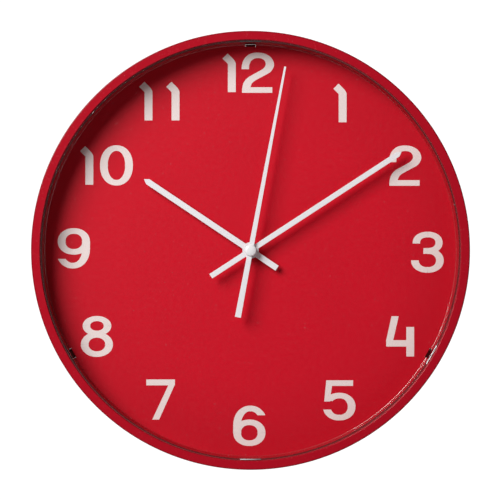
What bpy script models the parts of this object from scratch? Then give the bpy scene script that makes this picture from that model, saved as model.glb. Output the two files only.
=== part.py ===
"""Round wall clock: one-piece moulded case, snap-in lens, three hands and a quartz movement.

Every piece is modelled in a local frame: x to the right, y up the dial, and z, the height,
out of the dial towards the viewer, with height 0 on the printed face. UPRIGHT then stands
that frame up, so that height runs along world -Y and local y becomes world +Z. The world
origin is the middle of the case. Lengths are in millimetres, and MM turns them into metres.
"""
import math

import bmesh
import bpy
from mathutils import Matrix

MM = 0.001
UPRIGHT = (math.pi / 2, 0.0, 0.0)
GAP = 0.3                     # between pieces that touch on the real clock
BOOLEAN_REACH = 1.0           # how far a cutter runs past the face that it opens

# Case
CASE_R = 140.0
CASE_HALF_DEPTH = 20.0        # the printed face lies halfway between front and wall
CASE_DRAFT = 1.2              # the outer wall closes in by this much towards the wall
CASE_EDGE_R = 1.0
CASE_STEPS = 72
WALL_T = 2.2
REBATE_R = 134.4              # the front ring's inner edge, round the lens
REBATE_DEPTH = 2.8
RIM_CHAMFER = 0.3
RECESS_R = 133.2              # the recess's wall below the lens
RECESS_DRAFT = 0.4
DIAL_FILLET = 1.2
SHAFT_HOLE_R = 4.3
RING_BACK = 13.9              # where the hollow between the two walls ends
HOLLOW_DRAFT = 0.2
RIB_T = 1.2
RIB_DROP = 6.0
RIB_RING_R = 52.0
RIB_COUNT = 8
RIB_END = 138.4               # the ribs end inside the outer wall

# Lens
LENS_R = REBATE_R - GAP
LENS_T = 1.8
LENS_BEVEL = 0.6
ARM_CLOCK_ANGLES = (0.0, 120.0, 240.0)
ARM_W = 6.4
ARM_T = 1.2
ARM_ROOT_W = 13.4
ARM_ROOT_DEPTH = 1.5
ROOT_INSET = 0.2
ARM_R = RECESS_R - RECESS_DRAFT - GAP
ARM_HOOK = 1.2
ARM_HOOK_H = 0.9

# Hands: clock angle at rest, length, tail, width
HOUR_REST = 303.8
HOUR_LENGTH = 82.3
HOUR_TAIL = 20.5
HOUR_W = 3.8
HOUR_HUB_R = 5.2
HOUR_H = 4.2                  # the height of the hand's rear face
HOUR_COLLET = (3.4, 2.6)      # radius, and how far it reaches behind the hand
MINUTE_REST = 56.9
MINUTE_LENGTH = 115.5
MINUTE_TAIL = 30.4
MINUTE_W = 3.4
MINUTE_HUB_R = 5.2
MINUTE_H = 7.4
MINUTE_COLLET = (2.5, 2.2)
SECOND_REST = 10.7
SECOND_LENGTH = 119.8
SECOND_TAIL = 43.6
SECOND_TIP_W = 1.3
SECOND_TAIL_W = 3.9
SECOND_HUB_R = 2.6
SECOND_BORE_R = 1.3
SECOND_H = 9.7
HAND_T = 0.5
TIP_HALF_ANGLE = math.radians(33.5)
CAP_R = 3.7
CAP_H = 1.5
CAP_RIM_H = 0.5
CAP_TUBE_R = 1.2
CAP_CEILING = 0.2             # the arbor's socket ends this far inside the cap
FRONT_PLAY = 0.5              # between the minute hand and the cap's tube

# Shafts, one inside the other
SECONDS_ARBOR_R = 0.5
CANNON_R = 1.6
CANNON_BORE_R = 0.65
HOUR_TUBE_R = 2.5
HOUR_BORE_R = 1.75
BUSH_R = 3.9
BUSH_BORE_R = 2.7
BUSH_TOP = 0.6
SETTING_ARBOR_R = 0.9
RUN = 0.1                     # radial clearance of a running fit
ARBOR_R = 0.45
PIVOT_HOLE_R = ARBOR_R + RUN

# Movement housing
MOVEMENT_HALF = 28.0
MOVEMENT_FRONT = -(WALL_T + GAP)
MOVEMENT_REAR = -17.3
PLATE_T = 1.4
SPLIT = -9.8                  # the front case ends and the rear cover begins
COVER_HALF = 26.5
TROUGH_TOP = -11.15
TROUGH_WALL = 1.25
TROUGH_END = 26.8
TROUGH_BOTTOM = -26.25
PLATE_INSIDE = MOVEMENT_FRONT - PLATE_T
COVER_INSIDE = MOVEMENT_REAR + PLATE_T
ARBOR_FRONT = MOVEMENT_FRONT - 0.5
ARBOR_REAR = COVER_INSIDE - 0.7

# Battery, size AA
BATTERY_R = 7.25
BATTERY_LENGTH = 50.5
BATTERY_NUB_R = 2.6
BATTERY_NUB_L = 1.3
BATTERY_END = 25.7
BATTERY_AXIS_Y = TROUGH_TOP - GAP - BATTERY_R
BATTERY_AXIS_H = PLATE_INSIDE - GAP - BATTERY_R

# Gear train: centres in the dial's plane, from the distances that the teeth set
THIRD_DISTANCE = 8.5
THIRD_BEARING = math.radians(180.0)
INTERMEDIATE_DISTANCE = 8.4
INTERMEDIATE_BEARING = math.radians(110.0)
ROTOR_DISTANCE = 6.0
ROTOR_BEARING = math.radians(60.0)
MOTION_DISTANCE = 9.0
MOTION_BEARING = 0.0
SETTING_BEARING = math.radians(15.0)
CENTRE = (0.0, 0.0)


def polar(origin, distance, bearing):
    return (origin[0] + distance * math.cos(bearing), origin[1] + distance * math.sin(bearing))


THIRD = polar(CENTRE, THIRD_DISTANCE, THIRD_BEARING)
INTERMEDIATE = polar(CENTRE, INTERMEDIATE_DISTANCE, INTERMEDIATE_BEARING)
ROTOR = polar(INTERMEDIATE, ROTOR_DISTANCE, ROTOR_BEARING)
MOTION = polar(CENTRE, MOTION_DISTANCE, MOTION_BEARING)
SETTING = polar(MOTION, MOTION_DISTANCE, SETTING_BEARING)


# ---------------------------------------------------------------- scene and helpers

for old in list(bpy.data.objects):
    bpy.data.objects.remove(old, do_unlink=True)

parts = bpy.data.collections.new("wall_clock")
cutters = bpy.data.collections.new("cutters")
bpy.context.scene.collection.children.link(parts)
bpy.context.scene.collection.children.link(cutters)


def material(name, colour, roughness, metallic=0.0, alpha=1.0):
    mat = bpy.data.materials.new(name)
    mat.use_nodes = True
    shader = mat.node_tree.nodes["Principled BSDF"]
    shader.inputs["Base Color"].default_value = (*colour, 1.0)
    shader.inputs["Roughness"].default_value = roughness
    shader.inputs["Metallic"].default_value = metallic
    shader.inputs["Alpha"].default_value = alpha
    return mat


def add_object(name, mesh, mat, at=CENTRE):
    """Link a mesh as a part, or as a cutter where it has no material."""
    obj = bpy.data.objects.new(name, mesh)
    obj.location = (at[0] * MM, 0.0, at[1] * MM)
    obj.rotation_euler = UPRIGHT
    if mat is None:
        cutters.objects.link(obj)
        obj.hide_render = True
        obj.display_type = "WIRE"
    else:
        parts.objects.link(obj)
        mesh.materials.append(mat)
    return obj


def turned(name, profile, mat, at=CENTRE, steps=32, ring=True):
    """Turn a profile of (radius, height) points. A ring's profile closes on itself;
    any other begins and ends on the axis."""
    area = 0.0
    for (r0, h0), (r1, h1) in zip(profile, profile[1:] + profile[:1]):
        area += r0 * h1 - r1 * h0
    if area > 0.0:
        profile = profile[::-1]
    mesh = bpy.data.meshes.new(name)
    edges = [(i, i + 1) for i in range(len(profile) - 1)]
    if ring:
        edges.append((len(profile) - 1, 0))
    mesh.from_pydata([(r * MM, 0.0, h * MM) for r, h in profile], edges, [])
    obj = add_object(name, mesh, mat, at)
    screw = obj.modifiers.new("turn", "SCREW")
    screw.axis = "Z"
    screw.angle = 2.0 * math.pi
    screw.steps = steps
    screw.render_steps = steps
    screw.use_merge_vertices = True
    screw.merge_threshold = 0.00001
    screw.use_smooth_shade = False
    return obj


def flat(name, loops, low, high, mat, at=CENTRE):
    """Fill a flat outline, with its holes, and make it solid between two heights."""
    curve = bpy.data.curves.new(name, "CURVE")
    curve.dimensions = "2D"
    curve.fill_mode = "BOTH"
    curve.extrude = 0.5 * (high - low) * MM
    for loop in loops:
        spline = curve.splines.new("POLY")
        spline.points.add(len(loop) - 1)
        for point, (x, y) in zip(spline.points, loop):
            point.co = (x * MM, y * MM, 0.0, 1.0)
        spline.use_cyclic_u = True
    guide = bpy.data.objects.new(name + "_outline", curve)
    bpy.context.scene.collection.objects.link(guide)
    bpy.context.view_layer.update()
    evaluated = guide.evaluated_get(bpy.context.evaluated_depsgraph_get())
    mesh = bpy.data.meshes.new_from_object(evaluated)
    bpy.data.objects.remove(guide, do_unlink=True)
    weld(mesh)
    mesh.transform(Matrix.Translation((0.0, 0.0, 0.5 * (low + high) * MM)))
    mesh.materials.clear()
    return add_object(name, mesh, mat, at)


def weld(mesh):
    bm = bmesh.new()
    bm.from_mesh(mesh)
    bmesh.ops.remove_doubles(bm, verts=bm.verts, dist=0.000001)
    bmesh.ops.recalc_face_normals(bm, faces=bm.faces)
    bm.to_mesh(mesh)
    bm.free()


def block(name, xs, ys, hs, mat=None, at=CENTRE, turn=0.0):
    """A box between two x, two y and two heights, turned about the local z axis."""
    mesh = bpy.data.meshes.new(name)
    bm = bmesh.new()
    bmesh.ops.create_cube(bm, size=1.0)
    size = [(b - a) * MM for a, b in (xs, ys, hs)]
    middle = [0.5 * (a + b) * MM for a, b in (xs, ys, hs)]
    bmesh.ops.scale(bm, vec=size, verts=bm.verts)
    bmesh.ops.translate(bm, vec=middle, verts=bm.verts)
    bmesh.ops.rotate(bm, matrix=Matrix.Rotation(turn, 3, "Z"), verts=bm.verts)
    bm.to_mesh(mesh)
    bm.free()
    return add_object(name, mesh, mat, at)


def rod(name, radius, low, high, mat=None, at=CENTRE, steps=16):
    """A round bar along the height."""
    mesh = bpy.data.meshes.new(name)
    bm = bmesh.new()
    bmesh.ops.create_cone(bm, cap_ends=True, segments=steps, radius1=radius * MM,
                          radius2=radius * MM, depth=(high - low) * MM)
    bmesh.ops.translate(bm, vec=(0.0, 0.0, 0.5 * (low + high) * MM), verts=bm.verts)
    bm.to_mesh(mesh)
    bm.free()
    return add_object(name, mesh, mat, at)


def lay_along_x(obj, start_x, y, height):
    """Lay a piece that was made along its own height axis along local x instead."""
    obj.matrix_world = (Matrix.Rotation(math.pi / 2, 4, "X")
                        @ Matrix.Translation((start_x * MM, y * MM, height * MM))
                        @ Matrix.Rotation(math.pi / 2, 4, "Y"))


def combine(target, tools, operation):
    """Union or cut with tools, which move to the cutters' collection."""
    for tool in tools:
        if tool.name in parts.objects:
            parts.objects.unlink(tool)
            cutters.objects.link(tool)
            tool.hide_render = True
            tool.display_type = "WIRE"
        modifier = target.modifiers.new(tool.name, "BOOLEAN")
        modifier.operation = operation
        modifier.solver = "EXACT"
        modifier.object = tool
    return target


def cut(target, *tools):
    return combine(target, tools, "DIFFERENCE")


def unite(target, *tools):
    return combine(target, tools, "UNION")


def arc(centre, radius, start, end, count):
    """Points on an arc, with both ends; angles in degrees."""
    points = []
    for i in range(count + 1):
        angle = math.radians(start + (end - start) * i / count)
        points.append((centre[0] + radius * math.cos(angle), centre[1] + radius * math.sin(angle)))
    return points


def circle(radius, count=24, centre=CENTRE):
    return arc(centre, radius, 0.0, 360.0 * (count - 1) / count, count - 1)


def clock(angle):
    """The rotation about the height that takes 12 o'clock to a clock angle."""
    return -math.radians(angle)


# ---------------------------------------------------------------- gear teeth

ROOT_SHARE = 0.46             # of the circular pitch
TIP_SHARE = 0.18
ADDENDUM = 0.80               # in modules
DEDENDUM = 1.15


def gear_outline(teeth, module, phase):
    """Straight-sided teeth; phase is the direction of one tooth's centre line."""
    pitch_r = 0.5 * teeth * module
    pitch = 2.0 * math.pi / teeth
    root_r = pitch_r - DEDENDUM * module
    tip_r = pitch_r + ADDENDUM * module
    points = []
    for i in range(teeth):
        middle = phase + i * pitch
        for radius, share in ((root_r, -ROOT_SHARE), (tip_r, -TIP_SHARE),
                              (tip_r, TIP_SHARE), (root_r, ROOT_SHARE)):
            angle = middle + 0.5 * share * pitch
            points.append((radius * math.cos(angle), radius * math.sin(angle)))
    return points


def mesh_phase(teeth_a, phase_a, teeth_b, bearing):
    """The phase that puts a gap of gear b, which lies at this bearing from gear a,
    where gear a has a tooth."""
    pitch_a = 2.0 * math.pi / teeth_a
    pitch_b = 2.0 * math.pi / teeth_b
    past_tooth = ((bearing - phase_a) / pitch_a) % 1.0
    return bearing + math.pi + (past_tooth + 0.5) * pitch_b


# ---------------------------------------------------------------- materials

RED = material("red_plastic", (0.55, 0.010, 0.022), 0.42)
CLEAR = material("clear_plastic", (0.95, 0.95, 0.95), 0.05, alpha=0.15)
WHITE = material("white_paint", (0.80, 0.78, 0.80), 0.40)
CAP_WHITE = material("cap_plastic", (0.78, 0.76, 0.78), 0.35)
BLACK = material("black_plastic", (0.025, 0.025, 0.028), 0.45)
GREY = material("grey_plastic", (0.30, 0.31, 0.33), 0.50)
NATURAL = material("natural_acetal", (0.86, 0.84, 0.78), 0.45)
YELLOW = material("yellow_acetal", (0.75, 0.62, 0.25), 0.45)
STEEL = material("steel", (0.55, 0.56, 0.58), 0.30, 1.0)
IRON = material("stator_iron", (0.38, 0.38, 0.40), 0.42, 1.0)
COPPER = material("copper_wire", (0.62, 0.27, 0.13), 0.35, 1.0)
NICKEL = material("nickel_strip", (0.68, 0.66, 0.61), 0.28, 1.0)
MAGNET = material("ferrite", (0.09, 0.09, 0.10), 0.55)
BOARD = material("phenolic_board", (0.42, 0.27, 0.10), 0.60)
EPOXY = material("black_epoxy", (0.015, 0.015, 0.017), 0.25)
JACKET = material("battery_jacket", (0.16, 0.18, 0.22), 0.32, 0.4)


# ---------------------------------------------------------------- case

HOOK_T = 2.0
HOOK_W = 8.0
HOOK_LIP = 1.1
HOOK_LIP_H = 1.2
SIDE_HOOK_Y = 12.0
BOTTOM_HOOK_X = 14.0
SLOT_SIDE = 0.5               # a lens slot is this much wider than its arm on each side
SLOT_PLAY = 0.2               # and this much longer on the outside


def case_profile():
    front = CASE_HALF_DEPTH
    ledge = front - REBATE_DEPTH
    floor_r = RECESS_R - RECESS_DRAFT
    rear_r = CASE_R - CASE_DRAFT
    edge = arc((CASE_R - CASE_EDGE_R, front - CASE_EDGE_R), CASE_EDGE_R, 0.0, 90.0, 3)
    fillet = arc((floor_r - DIAL_FILLET, DIAL_FILLET), DIAL_FILLET, 0.0, -90.0, 3)
    outside = [(rear_r, -front)] + edge
    rebate = [(REBATE_R + RIM_CHAMFER, front), (REBATE_R, front - RIM_CHAMFER), (REBATE_R, ledge),
              (RECESS_R, ledge)]
    floor = fillet + [(SHAFT_HOLE_R, 0.0), (SHAFT_HOLE_R, -WALL_T)]
    back = [(floor_r + WALL_T, -WALL_T), (RECESS_R + WALL_T, RING_BACK),
            (CASE_R - WALL_T - HOLLOW_DRAFT, RING_BACK), (rear_r - WALL_T, -front)]
    return outside + rebate + floor + back


def make_case():
    case = turned("case_shell", case_profile(), RED, steps=CASE_STEPS)
    additions = []
    rib_low = -WALL_T - RIB_DROP
    overlap = 0.5 * WALL_T
    ring = turned("rib_ring", [(RIB_RING_R, -overlap), (RIB_RING_R, rib_low),
                               (RIB_RING_R - RIB_T, rib_low), (RIB_RING_R - RIB_T, -overlap)],
                  RED, steps=64)
    additions.append(ring)
    for i in range(RIB_COUNT):
        turn = math.pi / RIB_COUNT + 2.0 * math.pi * i / RIB_COUNT
        additions.append(block("radial_rib_%d" % i, (RIB_RING_R - 0.5 * RIB_T, RIB_END),
                               (-0.5 * RIB_T, 0.5 * RIB_T), (rib_low, -overlap), RED, turn=turn))
    for side, sign in (("left", -1.0), ("right", 1.0)):
        inner = MOVEMENT_HALF + GAP
        xs = sorted((sign * inner, sign * (inner + HOOK_T)))
        ys = (SIDE_HOOK_Y - 0.5 * HOOK_W, SIDE_HOOK_Y + 0.5 * HOOK_W)
        lip_top = SPLIT - GAP
        lip_xs = sorted((sign * (inner - GAP - HOOK_LIP), sign * (inner + HOOK_T)))
        additions.append(block("side_hook_" + side, xs, ys, (lip_top - HOOK_LIP_H, -overlap), RED))
        additions.append(block("side_lip_" + side, lip_xs, ys, (lip_top - HOOK_LIP_H, lip_top), RED))
        foot_x = (sign * BOTTOM_HOOK_X - 0.5 * HOOK_W, sign * BOTTOM_HOOK_X + 0.5 * HOOK_W)
        foot_top = MOVEMENT_REAR - GAP
        additions.append(block("bottom_hook_" + side, foot_x, (-inner - HOOK_T, -inner),
                               (foot_top - HOOK_LIP_H, -overlap), RED))
        additions.append(block("bottom_lip_" + side, foot_x, (-inner - HOOK_T, -inner + GAP + HOOK_LIP),
                               (foot_top - HOOK_LIP_H, foot_top), RED))
    unite(case, *additions)
    slots = []
    for i, angle in enumerate(ARM_CLOCK_ANGLES):
        half = 0.5 * ARM_W + SLOT_SIDE
        slots.append(block("lens_slot_%d" % i, (-half, half), (ARM_R - ARM_T - GAP, ARM_R + SLOT_PLAY),
                           (-WALL_T - BOOLEAN_REACH, BOOLEAN_REACH), turn=clock(angle)))
    cut(case, *slots)
    return case


def bar_across(name, outline, width, mat, turn):
    """Extrude an outline of (radius, height) points to both sides of a clock angle's plane."""
    obj = flat(name, [outline], -0.5 * width, 0.5 * width, mat)
    out_along_y = Matrix(((0.0, 0.0, 1.0), (1.0, 0.0, 0.0), (0.0, 1.0, 0.0))).to_4x4()
    obj.data.transform(Matrix.Rotation(turn, 4, "Z") @ out_along_y)
    return obj


def make_lens():
    top = CASE_HALF_DEPTH - REBATE_DEPTH + GAP + LENS_T
    low = top - LENS_T
    lens = turned("front_lens", [(0.0, top), (LENS_R - LENS_BEVEL, top), (LENS_R, top - LENS_BEVEL),
                                 (LENS_R, low), (0.0, low)], CLEAR, steps=CASE_STEPS, ring=False)
    inner = ARM_R - ARM_T
    hook_high = -WALL_T - GAP
    hook_low = hook_high - ARM_HOOK_H
    root_low = low - ARM_ROOT_DEPTH
    arm = [(ARM_R, low + 0.5 * LENS_T), (ARM_R, hook_low), (inner - ARM_HOOK, hook_low),
           (inner - ARM_HOOK, hook_high), (inner, hook_high), (inner, low + 0.5 * LENS_T)]
    root_high = low + 0.4 * LENS_T
    root = [(ARM_R - ROOT_INSET, root_high), (ARM_R - ROOT_INSET, root_low),
            (inner - ROOT_INSET, root_low), (inner - ROOT_INSET, root_high)]
    additions = [bar_across("lens_arm_%d" % i, arm, ARM_W, CLEAR, clock(angle))
                 for i, angle in enumerate(ARM_CLOCK_ANGLES)]
    additions += [bar_across("lens_root_%d" % i, root, ARM_ROOT_W, CLEAR, clock(angle))
                  for i, angle in enumerate(ARM_CLOCK_ANGLES + (180.0,))]
    return unite(lens, *additions)


# ---------------------------------------------------------------- hands

def hand_outline(length, tail, hub_r, half_at, point):
    """A bar that ends in a point, square at the tail, with a round hub in its middle.
    half_at gives half the bar's width at a distance from the axis."""
    hub_half = half_at(0.0)
    meet = math.degrees(math.asin(hub_half / hub_r))
    shoulder = length - point
    right = [(half_at(shoulder), shoulder)]
    hub = arc(CENTRE, hub_r, 90.0 - meet, meet - 90.0, 10)
    foot = [(half_at(-tail), -tail)]
    half = right + hub + foot
    tip = [(0.0, length)] if point > 0.0 else []
    return tip + half + [(-x, y) for x, y in reversed(half)]


def make_hand(name, outline, bore_r, low, rest, collet=None):
    hand = flat(name, [outline, circle(bore_r)], low, low + HAND_T, WHITE)
    if collet:
        collet_r, drop = collet
        sleeve = turned(name + "_collet", [(collet_r, low + 0.5 * HAND_T), (collet_r, low - drop),
                                           (bore_r, low - drop), (bore_r, low + 0.5 * HAND_T)],
                        WHITE, steps=24)
        unite(hand, sleeve)
        sleeve.rotation_euler = (math.pi / 2, -clock(rest), 0.0)
    hand.rotation_mode = "XYZ"
    hand.matrix_world = Matrix.Rotation(math.pi / 2, 4, "X") @ Matrix.Rotation(clock(rest), 4, "Z")
    return hand


def make_hands():
    hour_point = 0.5 * HOUR_W / math.tan(TIP_HALF_ANGLE)
    minute_point = 0.5 * MINUTE_W / math.tan(TIP_HALF_ANGLE)

    def second_half(distance):
        share = (distance + SECOND_TAIL) / (SECOND_LENGTH + SECOND_TAIL)
        return 0.5 * (SECOND_TAIL_W + (SECOND_TIP_W - SECOND_TAIL_W) * share)

    hour = hand_outline(HOUR_LENGTH, HOUR_TAIL, HOUR_HUB_R, lambda d: 0.5 * HOUR_W, hour_point)
    minute = hand_outline(MINUTE_LENGTH, MINUTE_TAIL, MINUTE_HUB_R, lambda d: 0.5 * MINUTE_W,
                          minute_point)
    second = hand_outline(SECOND_LENGTH, SECOND_TAIL, SECOND_HUB_R, second_half, 0.0)
    make_hand("hour_hand", hour, HOUR_TUBE_R + RUN, HOUR_H, HOUR_REST, HOUR_COLLET)
    make_hand("minute_hand", minute, CANNON_R + RUN, MINUTE_H, MINUTE_REST, MINUTE_COLLET)
    make_hand("second_hand", second, SECOND_BORE_R, SECOND_H, SECOND_REST)
    cap_low = SECOND_H + HAND_T + RUN
    dome = []
    for i in range(5):
        angle = 0.5 * math.pi * i / 5
        dome.append((CAP_R * math.sin(angle), cap_low + CAP_RIM_H + (CAP_H - CAP_RIM_H) * math.cos(angle)))
    tube_low = MINUTE_H + HAND_T + FRONT_PLAY
    bore_r = SECONDS_ARBOR_R + RUN
    profile = dome + [(CAP_R, cap_low + CAP_RIM_H), (CAP_R, cap_low), (CAP_TUBE_R, cap_low),
                      (CAP_TUBE_R, tube_low), (bore_r, tube_low), (bore_r, cap_low + CAP_CEILING),
                      (0.0, cap_low + CAP_CEILING)]
    turned("second_hand_cap", profile, CAP_WHITE, steps=24, ring=False)


# ---------------------------------------------------------------- movement housing

FRONT_PIVOTS = {"third": (THIRD, PIVOT_HOLE_R), "intermediate": (INTERMEDIATE, PIVOT_HOLE_R),
                "rotor": (ROTOR, PIVOT_HOLE_R), "setting": (SETTING, SETTING_ARBOR_R + RUN)}
REAR_PIVOTS = dict(FRONT_PIVOTS, seconds=(CENTRE, SECONDS_ARBOR_R + RUN))
POST_R = 0.8
POST_END = -7.2
BOARD_X = (11.5, 26.2)
BOARD_Y = (11.0, 26.0)
BOARD_H = (-8.4, -7.6)
BOARD_POSTS = ((14.0, 24.0), (24.5, 12.8))
BOARD_POST_R = 1.2


def make_front_case():
    half = MOVEMENT_HALF
    case = block("movement_front_case", (-half, half), (-half, half), (MOVEMENT_REAR, MOVEMENT_FRONT), BLACK)
    inner = half - PLATE_T
    step = block("cover_step", (-half - BOOLEAN_REACH, half + BOOLEAN_REACH),
                 (TROUGH_TOP + TROUGH_WALL, half + BOOLEAN_REACH),
                 (MOVEMENT_REAR - BOOLEAN_REACH, SPLIT))
    chamber = block("gear_chamber", (-inner, inner), (TROUGH_TOP + TROUGH_WALL, inner),
                    (MOVEMENT_REAR - BOOLEAN_REACH, PLATE_INSIDE))
    trough = block("battery_trough", (-TROUGH_END, TROUGH_END), (TROUGH_BOTTOM, TROUGH_TOP),
                   (MOVEMENT_REAR - BOOLEAN_REACH, PLATE_INSIDE))
    cut(case, step, chamber, trough)
    in_plate = MOVEMENT_FRONT - 0.5 * PLATE_T
    bush = rod("centre_bush", BUSH_R, in_plate, BUSH_TOP, BLACK, steps=32)
    post = rod("motion_post", POST_R, POST_END, in_plate, BLACK, at=MOTION)
    supports = [rod("board_post_%d" % i, BOARD_POST_R, BOARD_H[1] + GAP, in_plate, BLACK, at=at)
                for i, at in enumerate(BOARD_POSTS)]
    unite(case, bush, post, *supports)
    bore = rod("bush_bore", BUSH_BORE_R, PLATE_INSIDE - BOOLEAN_REACH, BUSH_TOP + BOOLEAN_REACH, steps=32)
    holes = [rod("front_pivot_" + name, radius, PLATE_INSIDE - BOOLEAN_REACH,
                 MOVEMENT_FRONT + BOOLEAN_REACH, at=at)
             for name, (at, radius) in FRONT_PIVOTS.items()]
    return cut(case, bore, *holes)


def make_rear_cover():
    half = COVER_HALF
    low_edge = TROUGH_TOP + TROUGH_WALL + GAP
    high = SPLIT - GAP
    cover = block("movement_rear_cover", (-half, half), (low_edge, half), (MOVEMENT_REAR, high), GREY)
    inner = half - PLATE_T
    hollow = block("cover_hollow", (-inner, inner), (low_edge + PLATE_T, inner),
                   (COVER_INSIDE, high + BOOLEAN_REACH))
    holes = [rod("rear_pivot_" + name, radius, MOVEMENT_REAR - BOOLEAN_REACH,
                 COVER_INSIDE + BOOLEAN_REACH, at=at)
             for name, (at, radius) in REAR_PIVOTS.items()]
    return cut(cover, hollow, *holes)


# ---------------------------------------------------------------- wheels

# Each gear: teeth, module, low and high face
HOUR_GEAR = (40, 0.36, -5.2, -4.2)
MOTION_PINION = (10, 0.36, -5.75, -4.2)
CANNON_PINION = (12, 0.375, -6.8, -5.6)
MOTION_WHEEL = (36, 0.375, -6.7, -5.7)
SETTING_PINION = (12, 0.375, -6.8, -5.6)
CENTRE_GEAR = (64, 2.0 * THIRD_DISTANCE / 72, -8.1, -7.3)
THIRD_PINION = (8, 2.0 * THIRD_DISTANCE / 72, -8.3, -7.1)
THIRD_GEAR = (60, 0.25, -10.4, -9.6)
SECONDS_PINION = (8, 0.25, -10.6, -9.4)
SECONDS_GEAR = (48, 0.3, -12.0, -11.2)
INTERMEDIATE_PINION = (8, 0.3, -12.2, -11.0)
INTERMEDIATE_GEAR = (40, 0.25, -13.6, -12.8)
ROTOR_PINION = (8, 0.25, -13.8, -12.6)

# Each wheel's barrel: radius, low and high end
HOUR_TUBE = (HOUR_TUBE_R, -4.9, HOUR_H + 0.8 * HAND_T)
CANNON_TUBE = (CANNON_R, -8.6, MINUTE_H + 0.8 * HAND_T)
SECONDS_BARREL = (0.8, -11.6, -9.6)
ARBOR = (ARBOR_R, ARBOR_REAR, ARBOR_FRONT)
MAGNET_R = 3.0
MAGNET_H = (-11.6, -8.4)

KNOB_R = 6.5
KNOB_REAR = -19.6
KNOB_FRONT = MOVEMENT_REAR - GAP
KNOB_RIDGES = 24
KNOB_RIDGE_DEPTH = 0.5
SETTING_ARBOR_END = -19.0
SOCKET_FLOOR = SETTING_ARBOR_END - RUN


def gear(name, spec, phase, mat, at):
    teeth, module, low, high = spec
    return flat(name, [gear_outline(teeth, module, phase)], low, high, mat, at)


def wheel(name, gears, mat, at, barrel=None, bore_r=None):
    """One moulded wheel: its gears, each a spec and a phase, joined by a round barrel,
    (radius, low, high), and bored right through."""
    body = gear(name, *gears[0], mat, at)
    joined = [gear(name + "_pinion", *pair, mat, at) for pair in gears[1:]]
    if barrel:
        joined.append(rod(name + "_barrel", *barrel, mat, at, 20))
    unite(body, *joined)
    if bore_r:
        low = min([pair[0][2] for pair in gears] + ([barrel[1]] if barrel else []))
        high = max([pair[0][3] for pair in gears] + ([barrel[2]] if barrel else []))
        cut(body, rod(name + "_bore", bore_r, low - BOOLEAN_REACH, high + BOOLEAN_REACH, at=at, steps=20))
    return body


def gear_phases():
    phases = {"cannon": 0.0, "centre": 0.0, "motion_pinion": 0.0, "third": 0.0, "seconds": 0.0,
              "intermediate": 0.0}
    phases["motion"] = mesh_phase(CANNON_PINION[0], phases["cannon"], MOTION_WHEEL[0], MOTION_BEARING)
    phases["hour"] = mesh_phase(MOTION_PINION[0], phases["motion_pinion"], HOUR_GEAR[0],
                                MOTION_BEARING + math.pi)
    phases["setting"] = mesh_phase(MOTION_WHEEL[0], phases["motion"], SETTING_PINION[0], SETTING_BEARING)
    phases["third_pinion"] = mesh_phase(CENTRE_GEAR[0], phases["centre"], THIRD_PINION[0], THIRD_BEARING)
    phases["seconds_pinion"] = mesh_phase(THIRD_GEAR[0], phases["third"], SECONDS_PINION[0],
                                          THIRD_BEARING + math.pi)
    phases["intermediate_pinion"] = mesh_phase(SECONDS_GEAR[0], phases["seconds"],
                                               INTERMEDIATE_PINION[0], INTERMEDIATE_BEARING)
    phases["rotor"] = mesh_phase(INTERMEDIATE_GEAR[0], phases["intermediate"], ROTOR_PINION[0],
                                 ROTOR_BEARING)
    return phases


def make_wheels():
    phases = gear_phases()
    wheel("hour_wheel", [(HOUR_GEAR, phases["hour"])], NATURAL, CENTRE,
          HOUR_TUBE, HOUR_BORE_R)
    wheel("cannon_pinion", [(CANNON_PINION, phases["cannon"])], YELLOW, CENTRE,
          CANNON_TUBE, CANNON_BORE_R)
    wheel("centre_wheel", [(CENTRE_GEAR, phases["centre"])], NATURAL, CENTRE, bore_r=CANNON_R + RUN)
    wheel("minute_wheel", [(MOTION_WHEEL, phases["motion"]), (MOTION_PINION, phases["motion_pinion"])],
          YELLOW, MOTION, bore_r=POST_R + RUN)
    wheel("third_wheel", [(THIRD_GEAR, phases["third"]), (THIRD_PINION, phases["third_pinion"])],
          NATURAL, THIRD, ARBOR)
    wheel("seconds_wheel", [(SECONDS_GEAR, phases["seconds"]), (SECONDS_PINION, phases["seconds_pinion"])],
          YELLOW, CENTRE, SECONDS_BARREL, SECONDS_ARBOR_R + RUN)
    rod("seconds_arbor", SECONDS_ARBOR_R, ARBOR_REAR, SECOND_H + HAND_T, STEEL, CENTRE, 16)
    wheel("intermediate_wheel", [(INTERMEDIATE_GEAR, phases["intermediate"]),
                                 (INTERMEDIATE_PINION, phases["intermediate_pinion"])],
          NATURAL, INTERMEDIATE, ARBOR)
    wheel("rotor_pinion", [(ROTOR_PINION, phases["rotor"])], YELLOW, ROTOR, ARBOR)
    low, high = MAGNET_H
    turned("rotor_magnet", [(MAGNET_R, high), (MAGNET_R, low), (PIVOT_HOLE_R, low), (PIVOT_HOLE_R, high)],
           MAGNET, ROTOR, 24)

    setting = gear("setting_pinion", SETTING_PINION, phases["setting"], YELLOW, SETTING)
    unite(setting, rod("setting_arbor", SETTING_ARBOR_R, SETTING_ARBOR_END, ARBOR_FRONT, YELLOW, SETTING, 16))
    rim = []
    for i in range(2 * KNOB_RIDGES):
        radius = KNOB_R if i % 2 else KNOB_R - KNOB_RIDGE_DEPTH
        rim.append(polar(CENTRE, radius, math.pi * i / KNOB_RIDGES))
    knob = flat("setting_knob", [rim], KNOB_REAR, KNOB_FRONT, BLACK, SETTING)
    socket = rod("knob_socket", SETTING_ARBOR_R + RUN, SOCKET_FLOOR, KNOB_FRONT + BOOLEAN_REACH, at=SETTING)
    cut(knob, socket)


# ---------------------------------------------------------------- motor and electronics

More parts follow.
